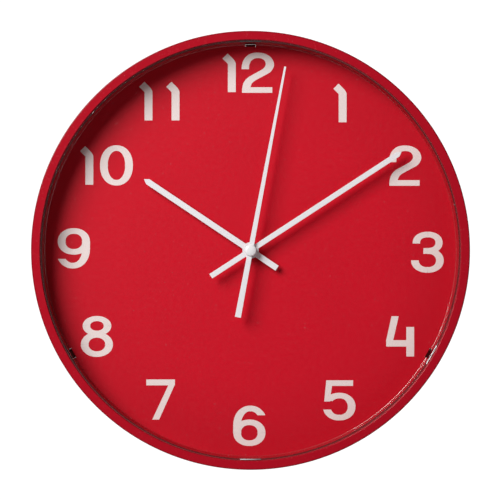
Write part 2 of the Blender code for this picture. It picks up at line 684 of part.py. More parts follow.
STATOR_H = (-10.4, -9.3)
CORE_H = (-11.6, -10.6)
COIL_Y = 21.1
COIL_H = -11.1
LEG_LEFT = (-17.0, -13.5)
LEG_RIGHT = (7.0, 10.5)
BAR_HALF = 4.0
LEG_TOP = 24.5
STATOR_HOLE_R = 3.3
CORE_HALF = 1.6
CORE_PLAY = 0.15
BOBBIN_X = (-12.5, 6.0)
BOBBIN_R = 2.4
FLANGE_T = 0.8
FLANGE_R = 3.8
WINDING_R = 3.5
WINDING_PLAY = 0.1
SCREW_R = 0.8
SCREW_HOLE_R = 1.0
SCREW_TIP = 0.4               # the screw ends this far past the stator
SCREW_HEAD_R = 1.5
SCREW_HEAD_H = 0.9
SCREW_PLAY = 0.1


def make_motor():
    bar_low = ROTOR[1] - BAR_HALF
    bar_high = ROTOR[1] + BAR_HALF
    outline = [(LEG_LEFT[0], bar_low), (LEG_RIGHT[1], bar_low), (LEG_RIGHT[1], LEG_TOP),
               (LEG_RIGHT[0], LEG_TOP), (LEG_RIGHT[0], bar_high), (LEG_LEFT[1], bar_high),
               (LEG_LEFT[1], LEG_TOP), (LEG_LEFT[0], LEG_TOP)]
    screws = {"left": (sum(LEG_LEFT) / 2, COIL_Y), "right": (sum(LEG_RIGHT) / 2, COIL_Y)}
    screw_holes = [circle(SCREW_HOLE_R, 16, at) for at in screws.values()]
    flat("stator", [outline, circle(STATOR_HOLE_R, 32, ROTOR)] + screw_holes, *STATOR_H, IRON)
    core = [(LEG_LEFT[0], COIL_Y - CORE_HALF), (LEG_RIGHT[1], COIL_Y - CORE_HALF),
            (LEG_RIGHT[1], COIL_Y + CORE_HALF), (LEG_LEFT[0], COIL_Y + CORE_HALF)]
    flat("coil_core", [core] + screw_holes, *CORE_H, IRON)
    head = CORE_H[0] - SCREW_PLAY
    tip = STATOR_H[1] + SCREW_TIP
    profile = [(0.0, tip), (SCREW_R, tip), (SCREW_R, head), (SCREW_HEAD_R, head),
               (SCREW_HEAD_R, head - SCREW_HEAD_H), (0.0, head - SCREW_HEAD_H)]
    for side, at in screws.items():
        turned("core_screw_" + side, profile, STEEL, at, 16, ring=False)

    length = BOBBIN_X[1] - BOBBIN_X[0]
    bobbin = turned("coil_bobbin", [(0.0, length), (FLANGE_R, length), (FLANGE_R, length - FLANGE_T),
                                    (BOBBIN_R, length - FLANGE_T), (BOBBIN_R, FLANGE_T),
                                    (FLANGE_R, FLANGE_T), (FLANGE_R, 0.0), (0.0, 0.0)],
                    BLACK, steps=24, ring=False)
    lay_along_x(bobbin, BOBBIN_X[0], COIL_Y, COIL_H)
    bore_half = CORE_HALF + CORE_PLAY
    cut(bobbin, block("bobbin_bore", (BOBBIN_X[0] - BOOLEAN_REACH, BOBBIN_X[1] + BOOLEAN_REACH),
                      (COIL_Y - bore_half, COIL_Y + bore_half),
                      (CORE_H[0] - CORE_PLAY, CORE_H[1] + CORE_PLAY)))
    first, last = FLANGE_T + WINDING_PLAY, length - FLANGE_T - WINDING_PLAY
    inner_r = BOBBIN_R + WINDING_PLAY
    winding = turned("coil_winding", [(WINDING_R, last), (WINDING_R, first), (inner_r, first),
                                      (inner_r, last)], COPPER, steps=24)
    lay_along_x(winding, BOBBIN_X[0], COIL_Y, COIL_H)


CHIP_AT = (17.0, 20.5)
CHIP_R = 3.0
CHIP_H = 1.1
CRYSTAL_START = (18.0, 14.0)
CRYSTAL_R = 1.0
CRYSTAL_L = 6.0
BOARD_PLAY = 0.1


def make_electronics():
    block("circuit_board", BOARD_X, BOARD_Y, BOARD_H, BOARD)
    surface = BOARD_H[0] - BOARD_PLAY
    dome = [(0.0, surface)]
    for i in range(5):
        angle = 0.5 * math.pi * i / 4
        dome.append((CHIP_R * math.cos(angle), surface - CHIP_H * math.sin(angle)))
    turned("ic_cover", dome, EPOXY, CHIP_AT, 20, ring=False)
    crystal = rod("quartz_crystal", CRYSTAL_R, 0.0, CRYSTAL_L, STEEL)
    lay_along_x(crystal, CRYSTAL_START[0], CRYSTAL_START[1], surface - CRYSTAL_R)


# ---------------------------------------------------------------- battery and contacts

BATTERY_START = BATTERY_END - BATTERY_LENGTH
CAN_EDGE = 0.6
CONTACT_HALF_W = 5.5
CONTACT_REAR = 4.5            # the contacts reach this far behind the battery's axis
CONTACT_FRONT = 5.0
POSITIVE_X = (BATTERY_END + 0.2, BATTERY_END + 0.7)
NEGATIVE_X = (BATTERY_START - 1.75, BATTERY_START - 1.35)
SPRING_TURNS = 2
SPRING_STEPS = 14             # per turn
SPRING_WIRE_R = 0.3
SPRING_R = (4.2, 2.3)         # at its foot and at the battery
SPRING_X = (BATTERY_START - 0.95, BATTERY_START - 0.43)


def make_battery():
    can_end = BATTERY_END - BATTERY_NUB_L
    profile = [(0.0, BATTERY_END), (BATTERY_NUB_R, BATTERY_END), (BATTERY_NUB_R, can_end),
               (BATTERY_R - CAN_EDGE, can_end), (BATTERY_R, can_end - CAN_EDGE),
               (BATTERY_R, BATTERY_START + CAN_EDGE), (BATTERY_R - CAN_EDGE, BATTERY_START),
               (0.0, BATTERY_START)]
    battery = turned("aa_battery", profile, JACKET, steps=32, ring=False)
    lay_along_x(battery, 0.0, BATTERY_AXIS_Y, BATTERY_AXIS_H)
    ys = (BATTERY_AXIS_Y - CONTACT_HALF_W, BATTERY_AXIS_Y + CONTACT_HALF_W)
    hs = (BATTERY_AXIS_H - CONTACT_REAR, BATTERY_AXIS_H + CONTACT_FRONT)
    block("battery_contact_positive", POSITIVE_X, ys, hs, NICKEL)
    block("battery_contact_negative", NEGATIVE_X, ys, hs, NICKEL)


def make_spring():
    count = SPRING_TURNS * SPRING_STEPS
    curve = bpy.data.curves.new("battery_spring", "CURVE")
    curve.dimensions = "3D"
    curve.bevel_depth = SPRING_WIRE_R * MM
    curve.bevel_resolution = 1
    curve.use_fill_caps = True
    spline = curve.splines.new("POLY")
    spline.points.add(count)
    for i in range(count + 1):
        share = i / count
        angle = 2.0 * math.pi * SPRING_TURNS * share
        radius = SPRING_R[0] + (SPRING_R[1] - SPRING_R[0]) * share
        x = SPRING_X[0] + (SPRING_X[1] - SPRING_X[0]) * share
        spline.points[i].co = (x * MM, (BATTERY_AXIS_Y + radius * math.cos(angle)) * MM,
                               (BATTERY_AXIS_H + radius * math.sin(angle)) * MM, 1.0)
    guide = bpy.data.objects.new("battery_spring_wire", curve)
    bpy.context.scene.collection.objects.link(guide)
    bpy.context.view_layer.update()
    mesh = bpy.data.meshes.new_from_object(guide.evaluated_get(bpy.context.evaluated_depsgraph_get()))
    bpy.data.objects.remove(guide, do_unlink=True)
    weld(mesh)
    mesh.materials.clear()
    add_object("battery_spring", mesh, NICKEL)


# ---------------------------------------------------------------- hanger

HANGER_HALF_W = 9.0
HANGER_H = (-15.2, -14.0)
HANGER_T = HANGER_H[1] - HANGER_H[0]
HANGER_TOP = 47.0
HANGER_FOOT_H = (-15.2, -10.3)
KEYHOLE_R = 4.0
KEYHOLE_Y = 36.0
KEYHOLE_NECK = 2.0
KEYHOLE_NECK_TOP = 41.5


def make_hanger():
    low = COVER_HALF + GAP
    hanger = block("hanger_plate", (-HANGER_HALF_W, HANGER_HALF_W), (low, HANGER_TOP), HANGER_H, STEEL)
    foot = block("hanger_foot", (-HANGER_HALF_W, HANGER_HALF_W), (low, low + HANGER_T), HANGER_FOOT_H, STEEL)
    unite(hanger, foot)
    through = (HANGER_H[0] - BOOLEAN_REACH, HANGER_H[1] + BOOLEAN_REACH)
    hole = rod("keyhole_mouth", KEYHOLE_R, through[0], through[1], steps=32)
    hole.location.z = KEYHOLE_Y * MM
    neck = block("keyhole_neck", (-KEYHOLE_NECK, KEYHOLE_NECK), (KEYHOLE_Y, KEYHOLE_NECK_TOP), through)
    return cut(hanger, hole, neck)


make_case()
make_lens()
make_hands()
make_front_case()
make_rear_cover()
make_wheels()
make_motor()
make_electronics()
make_battery()
make_spring()
make_hanger()

for part in parts.objects:
    part.data.shade_smooth()
    part.data.set_sharp_from_angle(angle=math.radians(30.0))
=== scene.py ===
"""Round red wall clock: the finished look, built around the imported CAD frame.

Shapes are drawn in a local frame in millimetres: x to the right, y up the dial, and the height
out of the dial towards the viewer, with height 0 on the printed face. UPRIGHT stands that frame
up in the CAD's own frame, where height runs along -Y and the clock's axis passes through the origin.
"""
import math

import bmesh
import bpy
from mathutils import Matrix, Vector
from mathutils.geometry import delaunay_2d_cdt


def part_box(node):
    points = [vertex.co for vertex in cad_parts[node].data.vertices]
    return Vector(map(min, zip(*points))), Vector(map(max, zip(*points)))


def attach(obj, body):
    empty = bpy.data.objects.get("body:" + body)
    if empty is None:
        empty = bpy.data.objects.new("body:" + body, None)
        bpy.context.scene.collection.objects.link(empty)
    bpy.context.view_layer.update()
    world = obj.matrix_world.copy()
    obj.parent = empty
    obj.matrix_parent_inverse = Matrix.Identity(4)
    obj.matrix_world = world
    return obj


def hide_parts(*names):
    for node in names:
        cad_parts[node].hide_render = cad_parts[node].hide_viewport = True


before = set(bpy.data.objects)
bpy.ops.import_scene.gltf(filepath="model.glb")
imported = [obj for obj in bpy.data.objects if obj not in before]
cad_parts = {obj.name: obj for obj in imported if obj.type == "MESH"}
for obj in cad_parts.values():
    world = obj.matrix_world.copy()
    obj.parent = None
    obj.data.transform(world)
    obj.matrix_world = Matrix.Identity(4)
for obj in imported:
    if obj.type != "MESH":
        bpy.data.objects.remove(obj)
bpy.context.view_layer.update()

MM = 0.001
UPRIGHT = Matrix.Rotation(math.pi / 2, 4, "X")
CENTRE = (0.0, 0.0)


def reach(node):
    """The lowest and highest height of a CAD node, in millimetres."""
    low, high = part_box(node)
    return -high.y / MM, -low.y / MM


def radius(node):
    low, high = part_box(node)
    return 0.5 * (high.x - low.x) / MM


# ---------------------------------------------------------------- sizes, in millimetres and degrees

CASE_REAR, CASE_FRONT = reach("case_shell")
CASE_R = radius("case_shell")
CASE_DRAFT = 1.2
WALL_T = 2.2
REBATE_R = 134.4
REBATE_DEPTH = 2.8
RECESS_R = 133.2
RECESS_DRAFT = 0.4
DIAL_FILLET = 0.9
SHAFT_HOLE_R = 4.3
RING_BACK = 13.9
RING_FALL = 0.05                      # the ring's front is this much lower at its outer edge
RIB_DROP = 6.0
RIB_RING_R = 52.0
RIB_COUNT = 8
PIN_R = 2.6
PIN_RINGS = ((42.0, 4, 45.0), (78.0, 8, 0.0), (118.0, 8, 0.0))     # radius, marks, first angle
LENS_TOP = reach("front_lens")[1]
LENS_R = REBATE_R - 0.3
LENS_T = 1.8
ARM_CLOCK_ANGLES = (0.0, 120.0, 240.0)
ARM_R = 132.5
ARM_T = 1.2
ARM_W = 6.4
ROOT_CLOCK_ANGLES = ARM_CLOCK_ANGLES + (180.0,)
ROOT_W = 13.4
ROOT_DROP = 1.5
SLOT_PLAY = 0.08
RIDGE_R = 133.5
RIDGE_W = 0.7
RIDGE_H = 0.25
RIDGE_SINK = 0.05
HAND_T = 0.5
TIP_HALF_ANGLE = math.radians(33.5)
WIDE_HUB_R, SMALL_HUB_R = 5.2, 2.6
HOUR_LENGTH, HOUR_TAIL, HOUR_HALF_W, HOUR_BORE_R, HOUR_REST = 82.3, 20.5, 1.9, 2.6, 303.8
MINUTE_LENGTH, MINUTE_TAIL, MINUTE_HALF_W, MINUTE_BORE_R, MINUTE_REST = 115.5, 30.4, 1.7, 1.7, 56.9
SECOND_LENGTH, SECOND_TAIL, SECOND_BORE_R, SECOND_REST = 119.8, 43.6, 1.3, 10.7
SECOND_TIP_W, SECOND_TAIL_W = 1.3, 3.9
CAP_R, CAP_BORE_R, CAP_H = 3.7, 1.2, 1.5
MOVEMENT_HALF = 28.0
MOVEMENT_REAR, MOVEMENT_FRONT = reach("movement_rear_cover")[0], -2.5
PLATE_T = 1.4
SPLIT = -9.8
BUSH_R, BUSH_BORE_R = 3.9, 2.7
COVER_HALF = 26.5
TROUGH_TOP = -11.15
TROUGH_WALL = 1.25
TROUGH_END = 26.8
TROUGH_BOTTOM = -26.25
BATTERY_AXIS = (-18.7, -11.45)
BATTERY_R = 7.25
BATTERY_END = 25.7
BATTERY_START = BATTERY_END - 50.5
SPRING_WIRE_R = 0.3
SPRING_TURNS = 2.0
SPRING_WIDE_R, SPRING_NARROW_R = 4.2, 2.3
SETTING = (17.693, 2.329)
ARROW_R = 8.3
KNOB_RIDGES = 24
HANGER_T = 1.2
HANGER_HALF_W = 9.0
HANGER_CORNER_R = 3.0
KEYHOLE_Y, KEYHOLE_R = 36.0, 4.0
KEYHOLE_SLOT_Y, KEYHOLE_SLOT_R = 39.5, 2.0
RIVET_AT, RIVET_R = (6.0, 30.3), 0.9
SHARP = math.radians(32.0)
AIM = (-0.34, 0.15)                   # where the camera looks, beside the clock's axis
FLOOR_R, FLOOR_Z = 1.5, -1.0          # in metres


# ---------------------------------------------------------------- mesh helpers

def polar_arc(centre, r, start, end, count):
    points = []
    for i in range(count + 1):
        angle = math.radians(start + (end - start) * i / count)
        points.append((centre[0] + r * math.cos(angle), centre[1] + r * math.sin(angle)))
    return points


def circle(r, count=48, centre=CENTRE):
    return polar_arc(centre, r, 0.0, 360.0 * (count - 1) / count, count - 1)


def rounded(corners, steps=4, closed=True):
    """An outline with its corners rounded; each corner is (x, y, radius)."""
    points = []
    for i, (x, y, r) in enumerate(corners):
        here = Vector((x, y))
        if r <= 0.0 or (not closed and i in (0, len(corners) - 1)):
            points.append((x, y))
            continue
        before = (Vector(corners[i - 1][:2]) - here).normalized()
        after = (Vector(corners[(i + 1) % len(corners)][:2]) - here).normalized()
        half = 0.5 * before.angle(after)
        centre = here + (before + after).normalized() * (r / math.sin(half))
        start = here + before * (r / math.tan(half)) - centre
        end = here + after * (r / math.tan(half)) - centre
        sweep = start.angle(end)
        for k in range(steps + 1):
            share = k / steps
            spoke = start * math.sin((1.0 - share) * sweep) + end * math.sin(share * sweep)
            points.append(tuple(centre + spoke / math.sin(sweep)))
    return points


def rounded_box(xs, ys, r):
    return rounded([(xs[0], ys[0], r), (xs[1], ys[0], r), (xs[1], ys[1], r), (xs[0], ys[1], r)])


def lathe(bm, profile, steps=64, at=CENTRE, closed=True):
    """Turn (radius, height) points about the height axis; points on the axis become one vertex."""
    rings = []
    for r, h in profile:
        if r < 1e-6:
            rings.append([bm.verts.new((at[0] * MM, at[1] * MM, h * MM))])
        else:
            rings.append([bm.verts.new((x * MM, y * MM, h * MM)) for x, y in circle(r, steps, at)])
    pairs = list(zip(rings, rings[1:]))
    if closed:
        pairs.append((rings[-1], rings[0]))
    for a, b in pairs:
        if len(a) == 1 and len(b) == 1:
            continue
        for i in range(steps):
            j = (i + 1) % steps
            face = [a[i % len(a)], a[j % len(a)], b[j % len(b)], b[i % len(b)]]
            bm.faces.new(list(dict.fromkeys(face)))


def place(name, data):
    obj = bpy.data.objects.new(name, data)
    bpy.context.scene.collection.objects.link(obj)
    return obj


def baked(obj):
    """The finished mesh of an object, which is then removed."""
    mesh = bpy.data.meshes.new_from_object(obj.evaluated_get(bpy.context.evaluated_depsgraph_get()))
    bpy.data.objects.remove(obj, do_unlink=True)
    return mesh


def slab(bm, loops, low, high, bevel=0.0, segments=1, matrix=None):
    """Fill an outline with its holes between two heights, with rounded edges of this radius."""
    curve = bpy.data.curves.new("outline", "CURVE")
    curve.dimensions = "2D"
    curve.fill_mode = "BOTH"
    curve.extrude = (0.5 * (high - low) - bevel) * MM
    curve.bevel_depth = bevel * MM
    curve.bevel_resolution = segments
    curve.offset = -bevel * MM
    for loop in loops:
        spline = curve.splines.new("POLY")
        spline.points.add(len(loop) - 1)
        for point, (x, y) in zip(spline.points, loop):
            point.co = (x * MM, y * MM, 0.0, 1.0)
        spline.use_cyclic_u = True
    mesh = baked(place("outline", curve))
    bpy.data.curves.remove(curve)
    mesh.transform(Matrix.Translation((0.0, 0.0, 0.5 * (low + high) * MM)))
    if matrix:
        mesh.transform(matrix)
    bm.from_mesh(mesh)
    bpy.data.meshes.remove(mesh)


def wedge(bm, xs, half_base, half_tip, base, tip, matrix):
    """A straight rib between two x, with moulding draft from its base to its tip."""
    verts = []
    for h, half in ((base, half_base), (tip, half_tip)):
        for x, y in ((xs[0], -half), (xs[1], -half), (xs[1], half), (xs[0], half)):
            verts.append(bm.verts.new(matrix @ Vector((x * MM, y * MM, h * MM))))
    for face in ((0, 1, 2, 3), (7, 6, 5, 4), (0, 4, 5, 1), (1, 5, 6, 2), (2, 6, 7, 3), (3, 7, 4, 0)):
        bm.faces.new([verts[i] for i in face])


def spin(angle):
    """The turn about the height that takes 12 o'clock to a clock angle."""
    return Matrix.Rotation(-math.radians(angle), 4, "Z")


def shift(x, y, h=0.0):
    return Matrix.Translation((x * MM, y * MM, h * MM))


ACROSS = Matrix(((0.0, 0.0, 1.0), (1.0, 0.0, 0.0), (0.0, 1.0, 0.0))).to_4x4()   # (y, height) outlines
ALONG_X = Matrix.Rotation(math.pi / 2, 4, "Y")                                   # height axis to x


def smooth(mesh):
    mesh.shade_smooth()
    mesh.set_sharp_from_angle(angle=SHARP)
    return mesh


def mesh_of(name, bm):
    """Close a bmesh into an upright, smooth-shaded mesh."""
    bmesh.ops.remove_doubles(bm, verts=bm.verts, dist=0.0000005)
    bmesh.ops.recalc_face_normals(bm, faces=bm.faces)
    bmesh.ops.transform(bm, matrix=UPRIGHT, verts=bm.verts)
    mesh = bpy.data.meshes.new(name)
    bm.to_mesh(mesh)
    bm.free()
    return smooth(mesh)


def made(name, build, *arguments, **settings):
    bm = bmesh.new()
    build(bm, *arguments, **settings)
    return mesh_of(name, bm)


def carve(mesh, tools):
    """Cut the tools out of a mesh, and give back the result."""
    block = place("block", mesh)
    cutters = [place("cutter", tool) for tool in tools]
    for cutter in cutters:
        modifier = block.modifiers.new("carve", "BOOLEAN")
        modifier.operation = "DIFFERENCE"
        modifier.solver = "EXACT"
        modifier.object = cutter
    result = baked(block)
    for cutter in cutters:
        bpy.data.objects.remove(cutter, do_unlink=True)
    return smooth(result)


def add_piece(name, mesh, body, mat, stands_for=(), edge=0.0):
    """Place a finished mesh as a piece. An edge radius rounds its sharp edges."""
    obj = place(name, mesh)
    mesh.materials.clear()
    mesh.materials.append(mat)
    if edge > 0.0:
        bevel = obj.modifiers.new("edges", "BEVEL")
        bevel.width = edge * MM
        bevel.segments = 2
        bevel.limit_method = "ANGLE"
        bevel.angle_limit = math.radians(40.0)
        bevel.use_clamp_overlap = True
    normals = obj.modifiers.new("normals", "WEIGHTED_NORMAL")
    normals.keep_sharp = True
    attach(obj, body)
    if stands_for:
        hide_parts(*stands_for)
    return obj


# ---------------------------------------------------------------- material helpers

def node(mat, kind, inputs=None, **settings):
    """Add a shader node; inputs gives each socket a value or another node's output."""
    new = mat.node_tree.nodes.new("ShaderNode" + kind)
    for key, value in settings.items():
        setattr(new, key, value)
    for key, value in (inputs or {}).items():
        if isinstance(value, bpy.types.NodeSocket):
            mat.node_tree.links.new(value, new.inputs[key])
        else:
            new.inputs[key].default_value = value
    return new


def blank(name, **sockets):
    mat = bpy.data.materials.new(name)
    mat.use_nodes = True
    shader = mat.node_tree.nodes["Principled BSDF"]
    for key, value in sockets.items():
        shader.inputs[key.replace("_", " ")].default_value = value
    where = node(mat, "TexCoord").outputs["Object"]
    return mat, shader, where


def noise(mat, where, scale, detail=3.0, stretch=None):
    if stretch:
        where = node(mat, "Mapping", {"Vector": where, "Scale": stretch}).outputs["Vector"]
    return node(mat, "TexNoise", {"Vector": where, "Scale": scale, "Detail": detail}).outputs["Fac"]


def remap(mat, value, low, high, to_low=0.0, to_high=1.0):
    return node(mat, "MapRange", {"Value": value, "From Min": low, "From Max": high,
                                  "To Min": to_low, "To Max": to_high}).outputs["Result"]


def ramp(mat, length, low, high, to_low=0.0, to_high=1.0):
    """A remap along a length, between two places given in millimetres."""
    return remap(mat, length, low * MM, high * MM, to_low, to_high)


def maths(mat, operation, a, b=0.0):
    return node(mat, "Math", {0: a, 1: b}, operation=operation).outputs[0]


def times(mat, a, b):
    return maths(mat, "MULTIPLY", a, b)


def plus(mat, a, b):
    return maths(mat, "ADD", a, b)


def larger(mat, a, b):
    return maths(mat, "MAXIMUM", a, b)


def inverse(mat, share):
    return maths(mat, "SUBTRACT", 1.0, share)


def blend(mat, share, a, b):
    def full(colour):
        return colour if isinstance(colour, bpy.types.NodeSocket) else (*colour, 1.0)
    return node(mat, "Mix", {0: share, 6: full(a), 7: full(b)}, data_type="RGBA").outputs[2]


def tint(colour, share):
    return tuple(min(1.0, c * share) for c in colour)


def link(mat, value, shader, socket):
    mat.node_tree.links.new(value, shader.inputs[socket])


def relief(mat, shader, *layers):
    """Stack bumps; each layer is a height and the depth in millimetres that it stands for."""
    normal = None
    for height, depth in layers:
        inputs = {"Height": height, "Distance": depth * MM, "Strength": 1.0}
        if normal:
            inputs["Normal"] = normal
        normal = node(mat, "Bump", inputs).outputs["Normal"]
    link(mat, normal, shader, "Normal")


def hairlines(mat, where, scale, stretch, share):
    """Thin scattered scratches: 1 on a scratch and 0 elsewhere."""
    turned = node(mat, "Mapping", {"Vector": where, "Scale": stretch, "Rotation": (0.3, 0.9, 0.6)})
    lines = noise(mat, turned.outputs["Vector"], scale, 2.0)
    return remap(mat, lines, share, share + 0.012)


def plastic(name, colour, roughness, texture, texture_scale, tone, dust=0.0, specular=0.5):
    """Moulded or painted surface: uneven tone, uneven gloss, fine texture, long waves and dust."""
    mat, shader, where = blank(name, Specular_IOR_Level=specular)
    cloud = noise(mat, where, 35.0, 5.0)
    fine = noise(mat, where, 420.0, 4.0)
    shade = blend(mat, remap(mat, cloud, 0.3, 0.7), tint(colour, 1.0 - tone), tint(colour, 1.0 + tone))
    shade = blend(mat, remap(mat, fine, 0.35, 0.65, 0.0, 0.35), shade, tint(colour, 1.0 - 1.5 * tone))
    gloss = remap(mat, fine, 0.3, 0.7, roughness - 0.05, roughness + 0.05)
    if dust > 0.0:
        specks = remap(mat, noise(mat, where, 900.0, 1.0), 0.745, 0.765, 0.0, dust)
        shade = blend(mat, specks, shade, (0.55, 0.52, 0.50))
        gloss = plus(mat, gloss, times(mat, specks, 0.4))
    link(mat, shade, shader, "Base Color")
    link(mat, gloss, shader, "Roughness")
    grain = noise(mat, where, texture_scale, 3.0)
    relief(mat, shader, (noise(mat, where, 45.0, 2.0), 0.02), (grain, texture))
    return mat


def metal(name, colour, roughness, brush, brush_scale=900.0):
    """Sheet or wire metal with drawn or brushed lines and faint oxide clouds."""
    mat, shader, where = blank(name, Metallic=1.0)
    lines = noise(mat, where, brush_scale, 4.0, brush)
    cloud = noise(mat, where, 160.0, 5.0)
    shade = blend(mat, remap(mat, cloud, 0.45, 0.75, 0.0, 0.25), colour, tint(colour, 0.55))
    shade = blend(mat, remap(mat, lines, 0.35, 0.65, 0.0, 0.3), shade, tint(colour, 1.15))
    link(mat, shade, shader, "Base Color")
    link(mat, remap(mat, lines, 0.3, 0.7, roughness - 0.07, roughness + 0.09), shader, "Roughness")
    relief(mat, shader, (lines, 0.002))
    return mat


# ---------------------------------------------------------------- materials

def away_from_axis(mat, where):
    """The distance from the clock's axis, in metres."""
    flat = node(mat, "VectorMath", {0: where, 1: (1.0, 0.0, 1.0)}, operation="MULTIPLY")
    return node(mat, "VectorMath", {0: flat.outputs[0]}, operation="LENGTH").outputs["Value"]


def case_plastic():
    """Red moulded plastic: satin on the printed face and glossier on the front ring.
    The ring, outer side, recess wall and outer front edge get darker reds, and the face darkens
    towards its edge: all painted shade on one plastic.
    """
    face = (0.565, 0.0002, 0.0130)
    # The same red painted darker for the front ring, the outer side and the back rim: painted shade.
    rim = (0.37, 0.0042, 0.0135)
    # A darker red painted on the recess wall and fillet: painted shade on the same plastic as the face.
    wall_shade_red = (0.38, 0.0012, 0.0085)
    mat, shader, where = blank("case_red_plastic", Specular_IOR_Level=0.28, Coat_Roughness=0.07)
    out = away_from_axis(mat, where)
    depth = node(mat, "SeparateXYZ", {0: where}).outputs["Y"]
    behind = ramp(mat, depth, 1.2, 1.6)
    wall = times(mat, ramp(mat, out, RECESS_R - 1.5, RECESS_R - 1.0),
                 ramp(mat, out, REBATE_R - 0.5, REBATE_R - 0.1, 1.0, 0.0))
    wall = times(mat, wall, inverse(mat, behind))
    link(mat, times(mat, wall, ramp(mat, depth, -2.2, -1.2, 0.25, 1.0)), shader, "Coat Weight")
    # The ring's outer front edge is painted up to 30% towards near-black: a painted shade line.
    lip = times(mat, ramp(mat, out, CASE_R - 1.1, CASE_R - 0.6, 0.0, 0.3),
                ramp(mat, depth, 0.7 - CASE_FRONT, 1.0 - CASE_FRONT, 1.0, 0.0))
    side = ramp(mat, out, CASE_R - 2.8, CASE_R - 2.4)
    inside = times(mat, behind, inverse(mat, side))
    ring = times(mat, ramp(mat, out, RECESS_R + 0.25, RECESS_R + 0.35),
                 remap(mat, behind, 0.0, 1.0, 1.0, 0.4))
    ring = larger(mat, ring, side)
    cloud = noise(mat, where, 22.0, 5.0)
    fine = noise(mat, where, 380.0, 4.0)
    shade = blend(mat, remap(mat, cloud, 0.3, 0.7), tint(face, 0.985), tint(face, 1.012))
    # Painted shade: the face darkens by up to 13% towards the recess wall, from 85 to 131 mm out.
    shade = blend(mat, ramp(mat, out, 85.0, 131.0, 0.0, 0.13), shade, tint(face, 0.05))
    # Painted shade: the front ring and the outer side take the darker ring red.
    shade = blend(mat, ring, shade, rim)
    # Painted shade: the recess wall and fillet take the darker wall red.
    shade = blend(mat, wall, shade, wall_shade_red)
    # Painted shade line along the ring's outer front edge.
    shade = blend(mat, lip, shade, tint(rim, 0.1))
    shade = blend(mat, remap(mat, fine, 0.4, 0.7, 0.0, 0.08), shade, tint(face, 0.80))
    flow = noise(mat, where, 60.0, 2.0, (1.0, 1.0, 0.12))
    flow = times(mat, inside, remap(mat, flow, 0.45, 0.7, 0.0, 0.35))
    shade = blend(mat, flow, shade, tint(face, 0.72))
    specks = remap(mat, noise(mat, where, 1100.0, 1.0), 0.755, 0.775, 0.0, 0.25)
    shade = blend(mat, specks, shade, (0.62, 0.42, 0.40))
    scratch = hairlines(mat, where, 26.0, (1.0, 1.0, 9.0), 0.715)
    scratch = times(mat, scratch, larger(mat, behind, ring))
    shade = blend(mat, times(mat, scratch, 0.18), shade, (0.75, 0.25, 0.25))
    link(mat, shade, shader, "Base Color")
    satin = remap(mat, fine, 0.3, 0.7, 0.40, 0.50)
    polish = remap(mat, fine, 0.3, 0.7, 0.20, 0.29)
    gloss = node(mat, "Mix", {0: ring, 2: satin, 3: polish}, data_type="FLOAT").outputs[0]
    gloss = plus(mat, gloss, times(mat, plus(mat, specks, scratch), 0.22))
    link(mat, gloss, shader, "Roughness")
    grain = noise(mat, where, 2200.0, 2.0)
    relief(mat, shader, (noise(mat, where, 40.0, 2.0), 0.015), (grain, 0.0035), (scratch, -0.002))
    return mat


